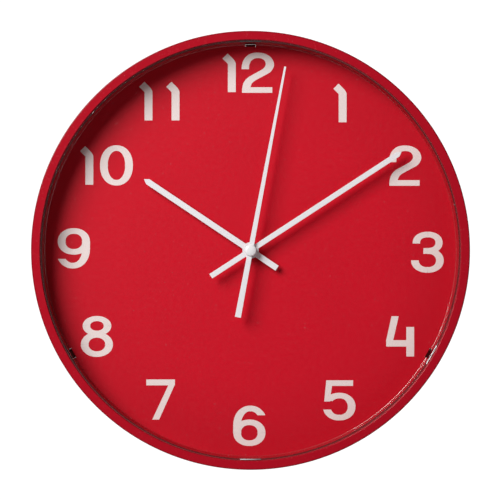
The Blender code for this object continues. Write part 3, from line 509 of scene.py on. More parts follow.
def lens_plastic():
    """Clear acrylic, almost invisible in the middle.

    Its edge and the arms' roots are whitened as painted highlights, a whitish patch on the ridge at
    6 o'clock is a painted glint, the band over the gap inside the edge is a painted shadow, the ridges
    are glossy, and the hooked feet are painted opaque dark red as painted shade in their slots.
    """
    mat, shader, where = blank("lens_clear_plastic", IOR=1.49, Coat_Roughness=0.08)
    out = away_from_axis(mat, where)
    split = node(mat, "SeparateXYZ", {0: where}).outputs
    depth = split["Y"]
    edge = ramp(mat, out, LENS_R - 0.5, LENS_R - 0.2)
    # Painted shadow: a band inside the edge, over the gap, made 35% opaque with the near-black body.
    gap = times(mat, ramp(mat, out, LENS_R - 1.4, LENS_R - 1.0), inverse(mat, edge))
    underside = LENS_T - LENS_TOP
    below = ramp(mat, depth, underside, underside + 0.4)
    stem = ramp(mat, depth, underside + 1.3, underside + 1.7)
    # The hooked feet are painted opaque dark red: painted shade in the slots they stand in.
    dark_painted_feet = ramp(mat, depth, -1.0, 0.0)
    root = maths(mat, "SUBTRACT", below, stem)
    ridge = ramp(mat, depth, -LENS_TOP - 0.04, -LENS_TOP - 0.01, 1.0, 0.0)
    # Painted glint: the ridge at 6 o'clock is whitened, strongest at its left end and fading to the right.
    bottom = times(mat, ridge, ramp(mat, split["Z"], -125.0, -120.0, 1.0, 0.0))
    bottom = times(mat, bottom, ramp(mat, split["X"], -3.0, 7.0, 0.62, 0.1))
    # Painted highlights: the edge and the arms' roots are whitened to stand in for the light they catch.
    painted_highlight = larger(mat, times(mat, edge, 0.30), times(mat, root, 0.2))
    painted_highlight = larger(mat, painted_highlight, bottom)
    smear = noise(mat, where, 28.0, 4.0, (1.0, 1.0, 2.5))
    film = remap(mat, smear, 0.4, 0.75, 0.008, 0.016)
    lint = remap(mat, noise(mat, where, 700.0, 1.0), 0.785, 0.80, 0.0, 0.08)
    glance = maths(mat, "POWER", node(mat, "LayerWeight", {"Blend": 0.5}).outputs["Facing"], 4.0)
    glance = times(mat, glance, remap(mat, below, 0.0, 1.0, 0.85, 0.12))
    opacity = plus(mat, glance, plus(mat, film, lint))
    for share, weight in ((painted_highlight, 0.30), (gap, 0.35), (ridge, 0.42), (dark_painted_feet, 1.0)):
        opacity = plus(mat, opacity, times(mat, share, weight))
    link(mat, maths(mat, "MINIMUM", opacity, 1.0), shader, "Alpha")
    link(mat, ridge, shader, "Coat Weight")
    # Lint is real dust; the rest of this whitening is painted highlight.
    lint_and_painted_highlight = larger(mat, painted_highlight, times(mat, lint, 8.0))
    body = blend(mat, lint_and_painted_highlight, (0.02, 0.02, 0.02), (0.90, 0.90, 0.91))
    # Painted shade: the hooked feet take a dark red.
    link(mat, blend(mat, dark_painted_feet, body, (0.10, 0.003, 0.006)), shader, "Base Color")
    link(mat, remap(mat, smear, 0.3, 0.7, 0.02, 0.07), shader, "Roughness")
    relief(mat, shader, (noise(mat, where, 30.0, 1.0), 0.004))
    return mat


def winding_copper():
    """Fine enamelled wire wound side by side along the coil."""
    mat, shader, where = blank("coil_enamelled_copper", Metallic=1.0)
    along = node(mat, "SeparateXYZ", {0: where}).outputs["X"]
    drift = times(mat, noise(mat, where, 300.0, 2.0), 0.15 * MM)
    pitch = 0.12 * MM
    turns = maths(mat, "SINE", times(mat, plus(mat, along, drift), 2.0 * math.pi / pitch))
    groove = remap(mat, turns, -1.0, 1.0)
    # Painted shade: the troughs between the turns are painted dark brown and the crests lighter.
    shade = blend(mat, groove, (0.30, 0.10, 0.05), (0.72, 0.32, 0.16))
    cloud = remap(mat, noise(mat, where, 220.0, 3.0), 0.45, 0.7, 0.0, 0.5)
    shade = blend(mat, cloud, shade, (0.55, 0.22, 0.09))
    link(mat, shade, shader, "Base Color")
    link(mat, remap(mat, groove, 0.0, 1.0, 0.42, 0.26), shader, "Roughness")
    relief(mat, shader, (groove, 0.03))
    return mat


def jacket_wrap():
    """Printed battery sleeve: dark wrap with a pale band at the positive end, crimped foil sheen."""
    mat, shader, where = blank("battery_sleeve", Metallic=0.35)
    along = node(mat, "SeparateXYZ", {0: where}).outputs["X"]
    band = times(mat, ramp(mat, along, 12.5, 12.7), ramp(mat, along, 23.4, 23.6, 1.0, 0.0))
    stripe = times(mat, ramp(mat, along, 10.8, 10.9), ramp(mat, along, 11.6, 11.7, 1.0, 0.0))
    cloud = noise(mat, where, 90.0, 4.0)
    dark = blend(mat, remap(mat, cloud, 0.35, 0.65), (0.030, 0.040, 0.062), (0.042, 0.054, 0.080))
    shade = blend(mat, band, dark, (0.52, 0.50, 0.47))
    shade = blend(mat, stripe, shade, (0.60, 0.58, 0.55))
    scuff = hairlines(mat, where, 60.0, (9.0, 1.0, 1.0), 0.70)
    shade = blend(mat, times(mat, scuff, 0.4), shade, (0.45, 0.45, 0.47))
    shade = blend(mat, ramp(mat, along, 23.65, 23.8), shade, (0.66, 0.65, 0.62))
    link(mat, shade, shader, "Base Color")
    link(mat, remap(mat, cloud, 0.3, 0.7, 0.24, 0.36), shader, "Roughness")
    relief(mat, shader, (noise(mat, where, 500.0, 3.0), 0.006), (scuff, -0.004))
    return mat


def board_laminate():
    """Phenolic paper board with a faint weave and printed conductor strips."""
    mat, shader, where = blank("circuit_laminate")
    fibre = noise(mat, where, 900.0, 4.0, (6.0, 1.0, 1.0))
    cross = noise(mat, where, 900.0, 4.0, (1.0, 1.0, 6.0))
    weave = larger(mat, fibre, cross)
    shade = blend(mat, remap(mat, weave, 0.45, 0.7), (0.34, 0.20, 0.07), (0.50, 0.33, 0.14))
    flat = node(mat, "Mapping", {"Vector": where, "Rotation": (math.pi / 2, 0.0, 0.0)}).outputs[0]
    grid = node(mat, "TexBrick", {"Vector": flat, "Scale": 160.0, "Mortar Size": 0.018}).outputs["Fac"]
    shade = blend(mat, times(mat, grid, 0.7), shade, (0.62, 0.30, 0.12))
    link(mat, shade, shader, "Base Color")
    link(mat, remap(mat, weave, 0.4, 0.7, 0.5, 0.68), shader, "Roughness")
    relief(mat, shader, (weave, 0.01), (grid, 0.02))
    return mat


RED = case_plastic()
CLEAR = lens_plastic()
INK = plastic("numeral_ink", (0.785, 0.668, 0.642), 0.42, 0.002, 1800.0, tone=0.02, dust=0.15,
              specular=0.35)
HAND_WHITE = plastic("hand_white_paint", (0.80, 0.775, 0.795), 0.36, 0.003, 1500.0, tone=0.015, dust=0.1)
CAP_WHITE = plastic("cap_white_plastic", (0.80, 0.78, 0.79), 0.30, 0.002, 1500.0, tone=0.02)
BLACK = plastic("movement_black_plastic", (0.022, 0.022, 0.025), 0.48, 0.012, 3500.0, tone=0.12, dust=0.35)
GREY = plastic("cover_grey_plastic", (0.28, 0.29, 0.31), 0.50, 0.010, 3500.0, tone=0.05, dust=0.25)
KNOB = plastic("knob_black_plastic", (0.020, 0.020, 0.022), 0.38, 0.006, 2500.0, tone=0.12, dust=0.3)
NATURAL = plastic("natural_acetal", (0.80, 0.77, 0.69), 0.42, 0.003, 2500.0, tone=0.03)
YELLOW = plastic("yellow_acetal", (0.70, 0.55, 0.20), 0.42, 0.003, 2500.0, tone=0.05)
FERRITE = plastic("magnet_ferrite", (0.075, 0.075, 0.082), 0.58, 0.010, 5000.0, tone=0.18)
EPOXY = plastic("potting_epoxy", (0.012, 0.012, 0.014), 0.22, 0.010, 1200.0, tone=0.2)
STEEL = metal("steel_sheet", (0.56, 0.57, 0.59), 0.33, (0.08, 1.0, 1.0))
IRON = metal("stator_iron_sheet", (0.36, 0.36, 0.38), 0.44, (0.1, 1.0, 1.0), 1400.0)
NICKEL = metal("nickel_strip", (0.70, 0.67, 0.61), 0.28, (1.0, 1.0, 0.1), 1400.0)
WIRE = winding_copper()
JACKET = jacket_wrap()
BOARD = board_laminate()


# ---------------------------------------------------------------- case

def build_case(bm):
    ledge = CASE_FRONT - REBATE_DEPTH
    floor_r = RECESS_R - RECESS_DRAFT
    rear_r = CASE_R - CASE_DRAFT
    profile = rounded([
        (rear_r, CASE_REAR, 0.5), (CASE_R, CASE_FRONT - RING_FALL, 0.6), (REBATE_R, CASE_FRONT, 0.35),
        (REBATE_R, ledge, 0.15), (RECESS_R, ledge, 0.3), (floor_r, 0.0, DIAL_FILLET),
        (SHAFT_HOLE_R, 0.0, 0.2), (SHAFT_HOLE_R, -WALL_T, 0.2), (floor_r + WALL_T, -WALL_T, 1.0),
        (RECESS_R + WALL_T, RING_BACK, 0.5), (CASE_R - WALL_T - 0.2, RING_BACK, 0.5),
        (rear_r - WALL_T, CASE_REAR, 0.5)], 6)
    lathe(bm, profile, 288)


def build_slot(bm, angle):
    half = 0.5 * ARM_W + SLOT_PLAY
    slab(bm, [rounded_box((-half, half), (ARM_R - ARM_T - SLOT_PLAY, ARM_R + SLOT_PLAY), 0.1)],
         -WALL_T - 1.0, 1.0, matrix=spin(angle))


def hook(sign, base, lip):
    """The outline of a snap hook that stands beside the movement and reaches over it at a height."""
    near = MOVEMENT_HALF + 0.3
    inner, outer = near - 1.4, near + 2.0
    corners = [(near, base, 0.0), (near, lip, 0.1), (inner, lip, 0.1), (inner, lip - 0.5, 0.2),
               (near + 0.4, lip - 1.2, 0.3), (outer, lip - 1.2, 0.3), (outer, base, 0.0)]
    return rounded([(sign * y, h, r) for y, h, r in corners], 3)


def build_ribs(bm):
    """Behind the face: a hub ring, ribs, four snap hooks and the round marks of the ejector pins."""
    tip = -WALL_T - RIB_DROP
    base = -0.5 * WALL_T
    lathe(bm, rounded([(RIB_RING_R + 0.1, base, 0.0), (RIB_RING_R, tip, 0.3), (RIB_RING_R - 1.2, tip, 0.3),
                       (RIB_RING_R - 1.3, base, 0.0)], 3), 192)
    rib_end = RECESS_R + 0.5 * (CASE_R - WALL_T - RECESS_R) + 3.0
    for i in range(RIB_COUNT):
        turn = Matrix.Rotation((2.0 * i + 1.0) * math.pi / RIB_COUNT, 4, "Z")
        wedge(bm, (RIB_RING_R - 0.6, rib_end), 0.68, 0.52, base, tip, turn)
    for sign in (-1.0, 1.0):
        side = shift(0.0, 12.0) @ Matrix.Rotation(-sign * math.pi / 2, 4, "Z") @ ACROSS
        slab(bm, [hook(1.0, base, SPLIT - 0.3)], -4.0, 4.0, 0.0, matrix=side)
        middle = sign * 14.0
        slab(bm, [hook(-1.0, base, MOVEMENT_REAR - 0.3)], middle - 4.0, middle + 4.0, 0.0, matrix=ACROSS)
    mark = rounded([(0.0, -1.5, 0.0), (PIN_R, -1.5, 0.0), (PIN_R, -WALL_T - 0.14, 0.06),
                    (0.0, -WALL_T - 0.14, 0.0)], 2, False)
    for ring_r, count, first in PIN_RINGS:
        for at in polar_arc(CENTRE, ring_r, first, first + 360.0 * (count - 1) / count, count - 1):
            lathe(bm, mark, 32, at, False)


slots = [made("slot", build_slot, angle) for angle in ARM_CLOCK_ANGLES]
case_mesh = carve(made("case_moulding", build_case), slots)
add_piece("case_moulding", case_mesh, "case", RED, ["case_shell"])
ribs_mesh = made("case_ribs_and_hooks", build_ribs)
add_piece("case_ribs_and_hooks", ribs_mesh, "case", RED, ["case_shell"], edge=0.15)


# ---------------------------------------------------------------- numerals

PEN = (2.68, 2.0)                     # half the width of an upright and of a level stroke
INK_TRIM = 0.21                       # the ink ends this far inside each stroke's outline
INK_TOP, INK_DEPTH = 0.04, 0.06


def sweep(path, pen=PEN):
    """The outline left by an oval pen. A path gives (x, y) for a share from 0 to 1."""
    left, right = [], []
    steps = 28
    for i in range(steps + 1):
        share = i / steps
        here = Vector(path(share))
        way = (Vector(path(share + 0.002)) - Vector(path(share - 0.002))).normalized()
        normal = Vector((-way.y, way.x))
        size = math.hypot(pen[0] * normal.x, pen[1] * normal.y)
        offset = Vector((pen[0] ** 2 * normal.x / size, pen[1] ** 2 * normal.y / size))
        left.append(tuple(here + offset))
        right.append(tuple(here - offset))
    return left + right[::-1]


def bowl(centre, across, up, start, end, power=2.15):
    """A path along part of an oval that is a little squarer than an ellipse."""
    def at(share):
        angle = math.radians(start + (end - start) * share)
        c, s = math.cos(angle), math.sin(angle)
        return (centre[0] + across * math.copysign(abs(c) ** (2.0 / power), c),
                centre[1] + up * math.copysign(abs(s) ** (2.0 / power), s))
    return at


def ring(centre, across, up, pen=PEN, power=2.15):
    return [sweep(bowl(centre, across, up, start, start + 182.0, power), pen) for start in (-1.0, 179.0)]


def clip(outline, y, keep):
    """Cut an outline level at y; keep is +1 for the part above and -1 for the part below."""
    points = []
    for (x0, y0), (x1, y1) in zip(outline, outline[1:] + outline[:1]):
        inside0, inside1 = keep * (y0 - y) >= 0.0, keep * (y1 - y) >= 0.0
        if inside0:
            points.append((x0, y0))
        if inside0 != inside1:
            share = (y - y0) / (y1 - y0)
            points.append((x0 + share * (x1 - x0), y))
    return points


def through(points):
    """A smooth run through points, as a Catmull-Rom curve."""
    ends = [points[0]] + points + [points[-1]]
    run = []
    for i in range(1, len(ends) - 2):
        p0, p1, p2, p3 = (Vector(p) for p in ends[i - 1:i + 3])
        for k in range(6):
            t = k / 6
            run.append(tuple(0.5 * (2.0 * p1 + (p2 - p0) * t + (2.0 * p0 - 5.0 * p1 + 4.0 * p2 - p3) * t * t
                                    + (3.0 * p1 - p0 - 3.0 * p2 + p3) * t ** 3)))
    return run + [points[-1]]


def box(x0, y0, x1, y1):
    return [(x0, y0), (x1, y0), (x1, y1), (x0, y1)]


def digit(figure):
    """The strokes of a figure, its width and its height, from its lower left corner."""
    if figure == "0":
        return ring((10.7, 13.1), 8.1, 11.15), 21.5, 26.3
    if figure == "1":
        shoulder = []
        for k in range(9):
            t = k / 8
            shoulder.append((9.0 * (1 - t) ** 2 + 18.0 * t * (1 - t) + 6.6 * t * t,
                             18.3 * (1 - t) ** 2 + 40.0 * t * (1 - t) + 22.4 * t * t))
        return [[(3.5, 0.0), (9.0, 0.0)] + shoulder + [(3.6, 25.4), (0.0, 21.8), (3.5, 18.3)]], 9.0, 25.4
    if figure == "2":
        outside = through([(0.0, 15.2), (0.35, 18.4), (1.7, 22.0), (4.6, 24.9), (7.9, 26.1), (11.0, 26.3),
                           (14.6, 25.8), (18.3, 24.0), (20.6, 21.2), (21.3, 18.5), (20.9, 16.4), (19.6, 14.2),
                           (18.0, 12.8), (15.3, 11.3), (9.56, 8.2), (7.1, 6.2), (6.2, 4.0)])
        inside = through([(0.3, 0.0), (0.45, 3.0), (0.93, 5.6), (2.1, 8.0), (4.4, 10.3), (9.56, 13.3),
                          (13.6, 15.6), (15.3, 17.6), (15.5, 19.3), (14.7, 21.0), (13.1, 22.0), (10.8, 22.35),
                          (8.3, 21.9), (6.4, 20.4), (5.4, 18.0), (5.2, 15.2)])
        return [outside + [(20.2, 4.0), (20.2, 0.0)] + inside], 21.3, 26.3
    if figure == "3":
        upper = sweep(bowl((10.9, 19.55), 7.3, 5.25, -92.0, 90.0), (2.5, 2.0))
        tip = clip(sweep(bowl((10.9, 19.55), 7.3, 5.25, 89.0, 205.0), (2.55, 2.0)), 18.8, 1.0)
        lower = sweep(bowl((10.7, 8.1), 8.0, 6.1, 92.0, -90.0))
        tail = clip(sweep(bowl((10.7, 8.1), 8.0, 6.1, -89.0, -205.0)), 8.4, -1.0)
        return [upper, tip, lower, tail, box(7.9, 12.2, 11.5, 16.2)], 21.3, 26.8
    if figure == "4":
        slant = [(0.0, 10.6), (0.0, 6.4), (5.0, 6.4), (5.0, 10.9), (8.5, 26.3), (3.5, 26.3)]
        return [slant, box(0.0, 6.4, 14.0, 10.9), box(12.95, 0.0, 18.4, 19.4)], 18.4, 26.3
    if figure == "5":
        stem = [(0.4, 12.3), (4.5, 12.3), (6.0, 13.4), (6.0, 17.2), (4.93, 16.5), (5.86, 22.3), (5.86, 26.3),
                (1.75, 26.3)]
        bend = sweep(bowl((10.3, 9.2), 7.95, 7.1, 145.0, -90.0))
        tail = clip(sweep(bowl((10.3, 9.2), 7.95, 7.1, -89.0, -205.0)), 7.5, -1.0)
        return [stem, bend, tail, box(1.76, 22.3, 19.4, 26.3)], 20.9, 26.3
    if figure == "6":
        arm = sweep(bowl((11.3, 13.15), 8.6, 11.15, 90.0, 181.0))
        crook = clip(sweep(bowl((11.3, 13.15), 8.6, 11.15, 5.0, 91.0), (2.5, 2.0)), 19.74, 1.0)
        return ring((10.6, 8.7), 7.85, 6.7) + [arm, crook, box(0.03, 8.4, 5.4, 13.4)], 21.1, 26.3
    if figure == "7":
        leg = [(3.7, 0.0), (8.55, 0.0), (18.8, 22.8), (18.8, 26.2), (13.0, 26.2), (13.0, 22.0), (14.0, 22.0)]
        return [box(0.0, 22.0, 18.8, 26.2), leg], 18.8, 26.2
    if figure == "8":
        upper = ring((10.6, 20.2), 6.8, 4.72, (2.62, 1.85), 2.05)
        return upper + ring((10.55, 8.25), 7.85, 6.2, PEN, 2.05), 21.1, 26.75
    turned, width, height = digit("6")
    return [[(width - x, height - y) for x, y in outline] for outline in turned], width, height


def build_number(bm, figures, gap, at):
    """A thin film of ink: the figures side by side, centred on a place on the dial."""
    parts = [digit(figure) for figure in figures]
    total = sum(width for _, width, _ in parts) + gap * (len(parts) - 1)
    tallest = max(height for _, _, height in parts)
    points, faces, left = [], [], at[0] - 0.5 * total
    for strokes, width, height in parts:
        base = at[1] - 0.5 * tallest + 0.5 * (tallest - height)
        for outline in strokes:
            area = sum(x0 * y1 - x1 * y0 for (x0, y0), (x1, y1) in zip(outline, outline[1:] + outline[:1]))
            outline = outline if area > 0.0 else outline[::-1]
            faces.append(list(range(len(points), len(points) + len(outline))))
            points += [Vector((left + x, base + y)) for x, y in outline]
        left += width + gap
    flat, _, triangles, _, _, sources = delaunay_2d_cdt(points, [], faces, 0, 0.001)
    verts = [bm.verts.new((p.x * MM, p.y * MM, INK_TOP * MM)) for p in flat]
    kept = [bm.faces.new([verts[i] for i in face]) for face, source in zip(triangles, sources) if source]
    bmesh.ops.delete(bm, geom=[v for v in verts if not v.link_faces], context="VERTS")
    trimmed = bmesh.ops.inset_region(bm, faces=kept, thickness=INK_TRIM * MM, use_boundary=True,
                                     use_even_offset=True)["faces"]
    bmesh.ops.delete(bm, geom=trimmed, context="FACES")
    skirt = bmesh.ops.extrude_face_region(bm, geom=kept)
    lowered = [item for item in skirt["geom"] if isinstance(item, bmesh.types.BMVert)]
    bmesh.ops.translate(bm, vec=(0.0, 0.0, -INK_DEPTH * MM), verts=lowered)


NUMBERS = {                           # the middle of each number on the dial, and the gap in it
    12: ((-1.5, 114.4), 3.3), 1: ((57.5, 95.0), 0.0), 2: ((99.4, 54.6), 0.0), 3: ((113.7, -1.1), 0.0),
    4: ((96.2, -55.2), 0.0), 5: ((57.2, -96.4), 0.0), 6: ((-0.8, -112.7), 0.0), 7: ((-57.8, -95.8), 0.0),
    8: ((-98.8, -55.3), 0.0), 9: ((-113.6, 1.4), 0.0), 10: ((-92.7, 54.8), 4.0), 11: ((-58.7, 96.2), 8.4)}
for number, (middle, gap) in NUMBERS.items():
    name = "numeral_%02d" % number
    add_piece(name, made(name, build_number, str(number), gap, middle), "case", INK)


# ---------------------------------------------------------------- lens

def build_lens(bm):
    low = LENS_TOP - LENS_T
    lathe(bm, rounded([(0.0, LENS_TOP, 0.0), (LENS_R - 0.6, LENS_TOP, 0.15), (LENS_R, LENS_TOP - 0.6, 0.15),
                       (LENS_R, low, 0.1), (0.0, low, 0.0)], 3, False), 288, closed=False)


def build_arms(bm):
    low = LENS_TOP - LENS_T
    inner = ARM_R - ARM_T
    hook_top = -WALL_T - 0.3
    for angle in ARM_CLOCK_ANGLES:
        arm = rounded([(ARM_R, low, 0.0), (ARM_R, hook_top - 0.9, 0.2), (inner - 1.2, hook_top - 0.9, 0.2),
                       (inner - 1.2, hook_top, 0.1), (inner, hook_top, 0.2), (inner, low, 0.0)], 3)
        slab(bm, [arm], -0.5 * ARM_W, 0.5 * ARM_W, 0.12, matrix=spin(angle) @ ACROSS)
    for angle in ROOT_CLOCK_ANGLES:
        turn = spin(angle) @ ACROSS
        ridge = rounded([(RIDGE_R - RIDGE_W, LENS_TOP - RIDGE_SINK, 0.0), (RIDGE_R, LENS_TOP + RIDGE_H, 0.0),
                         (RIDGE_R, LENS_TOP - RIDGE_SINK, 0.0)], 3)
        slab(bm, [ridge], -0.5 * ROOT_W, 0.5 * ROOT_W, matrix=turn)
        root = rounded([(ARM_R + 0.4, low, 0.0), (ARM_R + 0.4, low - ROOT_DROP, 0.2),
                        (inner + 0.5, low - ROOT_DROP, 0.4), (inner + 0.5, low, 0.0)], 3)
        slab(bm, [root], -0.5 * ROOT_W, 0.5 * ROOT_W, 0.12, matrix=turn)


for name, build in (("lens_disc", build_lens), ("lens_arms", build_arms)):
    add_piece(name, made(name, build), "case", CLEAR, ["front_lens"])


# ---------------------------------------------------------------- hands

def build_hand(bm, top, length, tail, hub_r, half_at, point, bore_r, rest, collet=None):
    """A flat hand that lies under a height and points at a clock angle.

    half_at gives half its width at a distance from its axis, point is the length of its pointed tip,
    and collet is the radius and the drop of the sleeve under its hub.
    """
    hub_half = half_at(0.0)
    meet = math.degrees(math.asin(hub_half / hub_r))
    shoulder = length - point
    half = [(half_at(shoulder), shoulder)] + polar_arc(CENTRE, hub_r, 90.0 - meet, meet - 90.0, 32)
    half.append((half_at(-tail), -tail))
    tip = [(0.0, length)] if point > 0.0 else []
    outline = tip + half + [(-x, y) for x, y in reversed(half)]
    slab(bm, [outline, circle(bore_r, 32)], top - HAND_T, top, 0.09, 2, matrix=spin(rest))
    if collet:
        sleeve_r, drop = collet
        lathe(bm, rounded([(sleeve_r, top - 0.5 * HAND_T, 0.0), (sleeve_r, top - HAND_T - drop, 0.2),
                           (bore_r, top - HAND_T - drop, 0.1), (bore_r, top - 0.5 * HAND_T, 0.0)], 3), 48)


def second_half(distance):
    share = (distance + SECOND_TAIL) / (SECOND_LENGTH + SECOND_TAIL)
    return 0.5 * (SECOND_TAIL_W + (SECOND_TIP_W - SECOND_TAIL_W) * share)


def build_cap(bm, low, high):
    shoulder = low + 0.5
    dome = [(0.0, high)]
    for i in range(1, 13):
        angle = 0.5 * math.pi * i / 12
        dome.append((CAP_R * math.sin(angle), shoulder + (high - shoulder) * math.cos(angle)))
    profile = dome + [(CAP_R, low + 0.08), (CAP_R - 0.08, low), (CAP_BORE_R, low),
                      (CAP_BORE_R, reach("second_hand_cap")[0]), (0.5 * CAP_BORE_R, low + 0.2),
                      (0.0, low + 0.2)]
    lathe(bm, profile, 64, closed=False)


hour_top, minute_top, second_top = (reach(name)[1] for name in ("hour_hand", "minute_hand", "second_hand"))
cap_top = reach("second_hand_cap")[1]
hour = made("hour_hand_blade", build_hand, hour_top, HOUR_LENGTH, HOUR_TAIL, WIDE_HUB_R,
            lambda d: HOUR_HALF_W, HOUR_HALF_W / math.tan(TIP_HALF_ANGLE), HOUR_BORE_R, HOUR_REST, (3.4, 2.6))
minute = made("minute_hand_blade", build_hand, minute_top, MINUTE_LENGTH, MINUTE_TAIL, WIDE_HUB_R,
              lambda d: MINUTE_HALF_W, MINUTE_HALF_W / math.tan(TIP_HALF_ANGLE), MINUTE_BORE_R, MINUTE_REST,
              (2.5, 2.2))
second = made("second_hand_blade", build_hand, second_top, SECOND_LENGTH, SECOND_TAIL, SMALL_HUB_R,
              second_half, 0.0, SECOND_BORE_R, SECOND_REST)
boss = made("second_hand_boss", build_cap, cap_top - CAP_H, cap_top)
add_piece("hour_hand_blade", hour, "hour", HAND_WHITE, ["hour_hand"])
add_piece("minute_hand_blade", minute, "minute", HAND_WHITE, ["minute_hand"])
add_piece("second_hand_blade", second, "second", HAND_WHITE, ["second_hand"])
add_piece("second_hand_boss", boss, "second", CAP_WHITE, ["second_hand_cap"])


# ---------------------------------------------------------------- movement

def build_block(bm, xs, ys, hs, corner):
    slab(bm, [rounded_box(xs, ys, corner)], hs[0], hs[1])


def build_hole(bm, at, r, low, high):
    slab(bm, [circle(r, 32, at)], low, high)


def build_front_extras(bm):
    """The centre bush, the raised polarity marks beside the battery, and three ribs in its trough."""
    low = MOVEMENT_FRONT - 0.7
    lathe(bm, rounded([(BUSH_R, low, 0.0), (BUSH_R, 0.6, 0.25), (BUSH_BORE_R, 0.6, 0.15),
                       (BUSH_BORE_R, low, 0.0)], 3), 64)
    middle = 0.5 * (TROUGH_BOTTOM - MOVEMENT_HALF)
    for xs, half in (((19.4, 21.2), 0.2), ((20.1, 20.5), 0.8), ((-21.2, -19.4), 0.2)):
        build_block(bm, xs, (middle - half, middle + half), (MOVEMENT_REAR - 0.2, MOVEMENT_REAR + 0.2), 0.1)
    for x in (-16.0, 0.0, 16.0):
        build_block(bm, (x - 0.5, x + 0.5), (TROUGH_BOTTOM - 0.1, TROUGH_BOTTOM + 0.2),
                    (MOVEMENT_REAR + 1.0, -4.2), 0.1)


def movement_case():
    inner = MOVEMENT_HALF - PLATE_T
    back = MOVEMENT_REAR - 1.0
    floor = MOVEMENT_FRONT - PLATE_T
    across = (-MOVEMENT_HALF, MOVEMENT_HALF)
    past = MOVEMENT_HALF + 2.0
    shelf = TROUGH_TOP + TROUGH_WALL
    whole = made("block", build_block, across, across, (MOVEMENT_REAR, MOVEMENT_FRONT), 1.8)
    cuts = (((-past, past), (shelf, past), (back, SPLIT), 0.2),
            ((-inner, inner), (shelf, inner), (back, floor), 1.0),
            ((-TROUGH_END, TROUGH_END), (TROUGH_BOTTOM, TROUGH_TOP), (back, floor), 0.6),
            ((-7.0, 7.0), (-MOVEMENT_HALF - 1.0, TROUGH_BOTTOM + 0.5), (back, MOVEMENT_REAR + 3.2), 1.4))
    tools = [made("cut", build_block, *cut) for cut in cuts]
    tools.append(made("bore", build_hole, CENTRE, BUSH_BORE_R, floor - 1.0, MOVEMENT_FRONT + 1.0))
    return carve(whole, tools)


def build_arrows(bm):
    """Raised arrows round the setting knob that show which ways it turns."""
    for start, sign in ((35.0, 1.0), (145.0, -1.0)):
        end = start + sign * 34.0
        stem = polar_arc(SETTING, ARROW_R + 0.25, start, end, 12)
        stem += polar_arc(SETTING, ARROW_R - 0.25, end, start, 12)
        head = [polar_arc(SETTING, r, end + sign * turn, end, 1)[0]
                for r, turn in ((ARROW_R + 0.9, 0.0), (ARROW_R, 9.0), (ARROW_R - 0.9, 0.0))]
        for outline in (stem, head):
            slab(bm, [outline], MOVEMENT_REAR - 0.22, MOVEMENT_REAR + 0.2)


def rear_cover():
    low = TROUGH_TOP + TROUGH_WALL + 0.3
    back = MOVEMENT_REAR - 1.0
    inner = COVER_HALF - PLATE_T
    lid = MOVEMENT_REAR + PLATE_T
    whole = made("cover", build_block, (-COVER_HALF, COVER_HALF), (low, COVER_HALF),
                 (MOVEMENT_REAR, SPLIT - 0.3), 1.5)
    tools = [made("hollow", build_block, (-inner, inner), (low + PLATE_T, inner), (lid, SPLIT + 1.0), 0.8),
             made("bore", build_hole, SETTING, 1.0, back, lid + 1.0),
             made("panel", build_block, (-22.5, 2.5), (-4.5, 16.5), (back, MOVEMENT_REAR + 0.3), 1.2)]
    for x in (-18.0, 18.0):
        tools.append(made("latch", build_block, (x - 2.5, x + 2.5), (COVER_HALF - 0.6, COVER_HALF + 1.0),
                          (back, SPLIT - 2.2), 0.2))
    return carve(whole, tools)


def build_knob(bm):
    """A knob with a ridged rim, a dished back and three raised bars to turn it by."""
    low, high = reach("setting_knob")
    for r_out, r_in, bottom, top in ((6.5, 6.05, low + 0.35, high), (6.25, 5.85, low + 0.12, low + 0.35)):
        rim = []
        for i in range(KNOB_RIDGES):
            for share, r in ((-0.30, r_in), (-0.18, r_out), (0.18, r_out), (0.30, r_in)):
                angle = 2.0 * math.pi * (i + share) / KNOB_RIDGES
                rim.append((SETTING[0] + r * math.cos(angle), SETTING[1] + r * math.sin(angle)))
        slab(bm, [rim], bottom, top, 0.06)
    lathe(bm, rounded([(0.0, low + 0.5, 0.0), (4.3, low + 0.5, 0.2), (4.6, low, 0.15), (5.7, low, 0.2),
                       (5.85, low + 0.3, 0.0), (0.0, low + 0.8, 0.0)], 3, False), 64, SETTING, False)
    for turn in range(3):
        slab(bm, [rounded_box((1.2, 3.9), (-0.3, 0.3), 0.25)], low + 0.25, low + 0.7, 0.05,
             matrix=shift(*SETTING) @ Matrix.Rotation(2.0 * math.pi * turn / 3, 4, "Z"))


add_piece("movement_housing", movement_case(), "case", BLACK, ["movement_front_case"],
          edge=0.25)
add_piece("movement_housing_details", made("movement_housing_details", build_front_extras), "case",
          BLACK, ["movement_front_case"])
add_piece("movement_lid", rear_cover(), "case", GREY, ["movement_rear_cover"], edge=0.25)
add_piece("movement_lid_arrows", made("movement_lid_arrows", build_arrows), "case", GREY,
          ["movement_rear_cover"], edge=0.05)
add_piece("setting_wheel_knob", made("setting_wheel_knob", build_knob), "setting", KNOB,
          ["setting_knob"])


# ---------------------------------------------------------------- battery, contacts and hanger

def build_battery(bm):
    start = BATTERY_START
    can = BATTERY_END - 1.3
    lathe(bm, rounded([
        (0.0, BATTERY_END, 0.0), (2.6, BATTERY_END, 0.5), (2.75, can + 0.1, 0.15), (4.6, can + 0.05, 0.1),
        (5.9, can - 0.5, 0.3), (6.5, can - 0.1, 0.3), (BATTERY_R, can - 0.5, 0.45),
        (BATTERY_R, start + 0.2, 0.5),
        (6.1, start, 0.2), (5.7, start + 0.5, 0.15), (4.3, start + 0.55, 0.1), (3.9, start + 0.05, 0.2),
        (0.0, start, 0.0)], 4, False), 96, closed=False)
    bmesh.ops.transform(bm, matrix=shift(0.0, *BATTERY_AXIS) @ ALONG_X, verts=bm.verts)


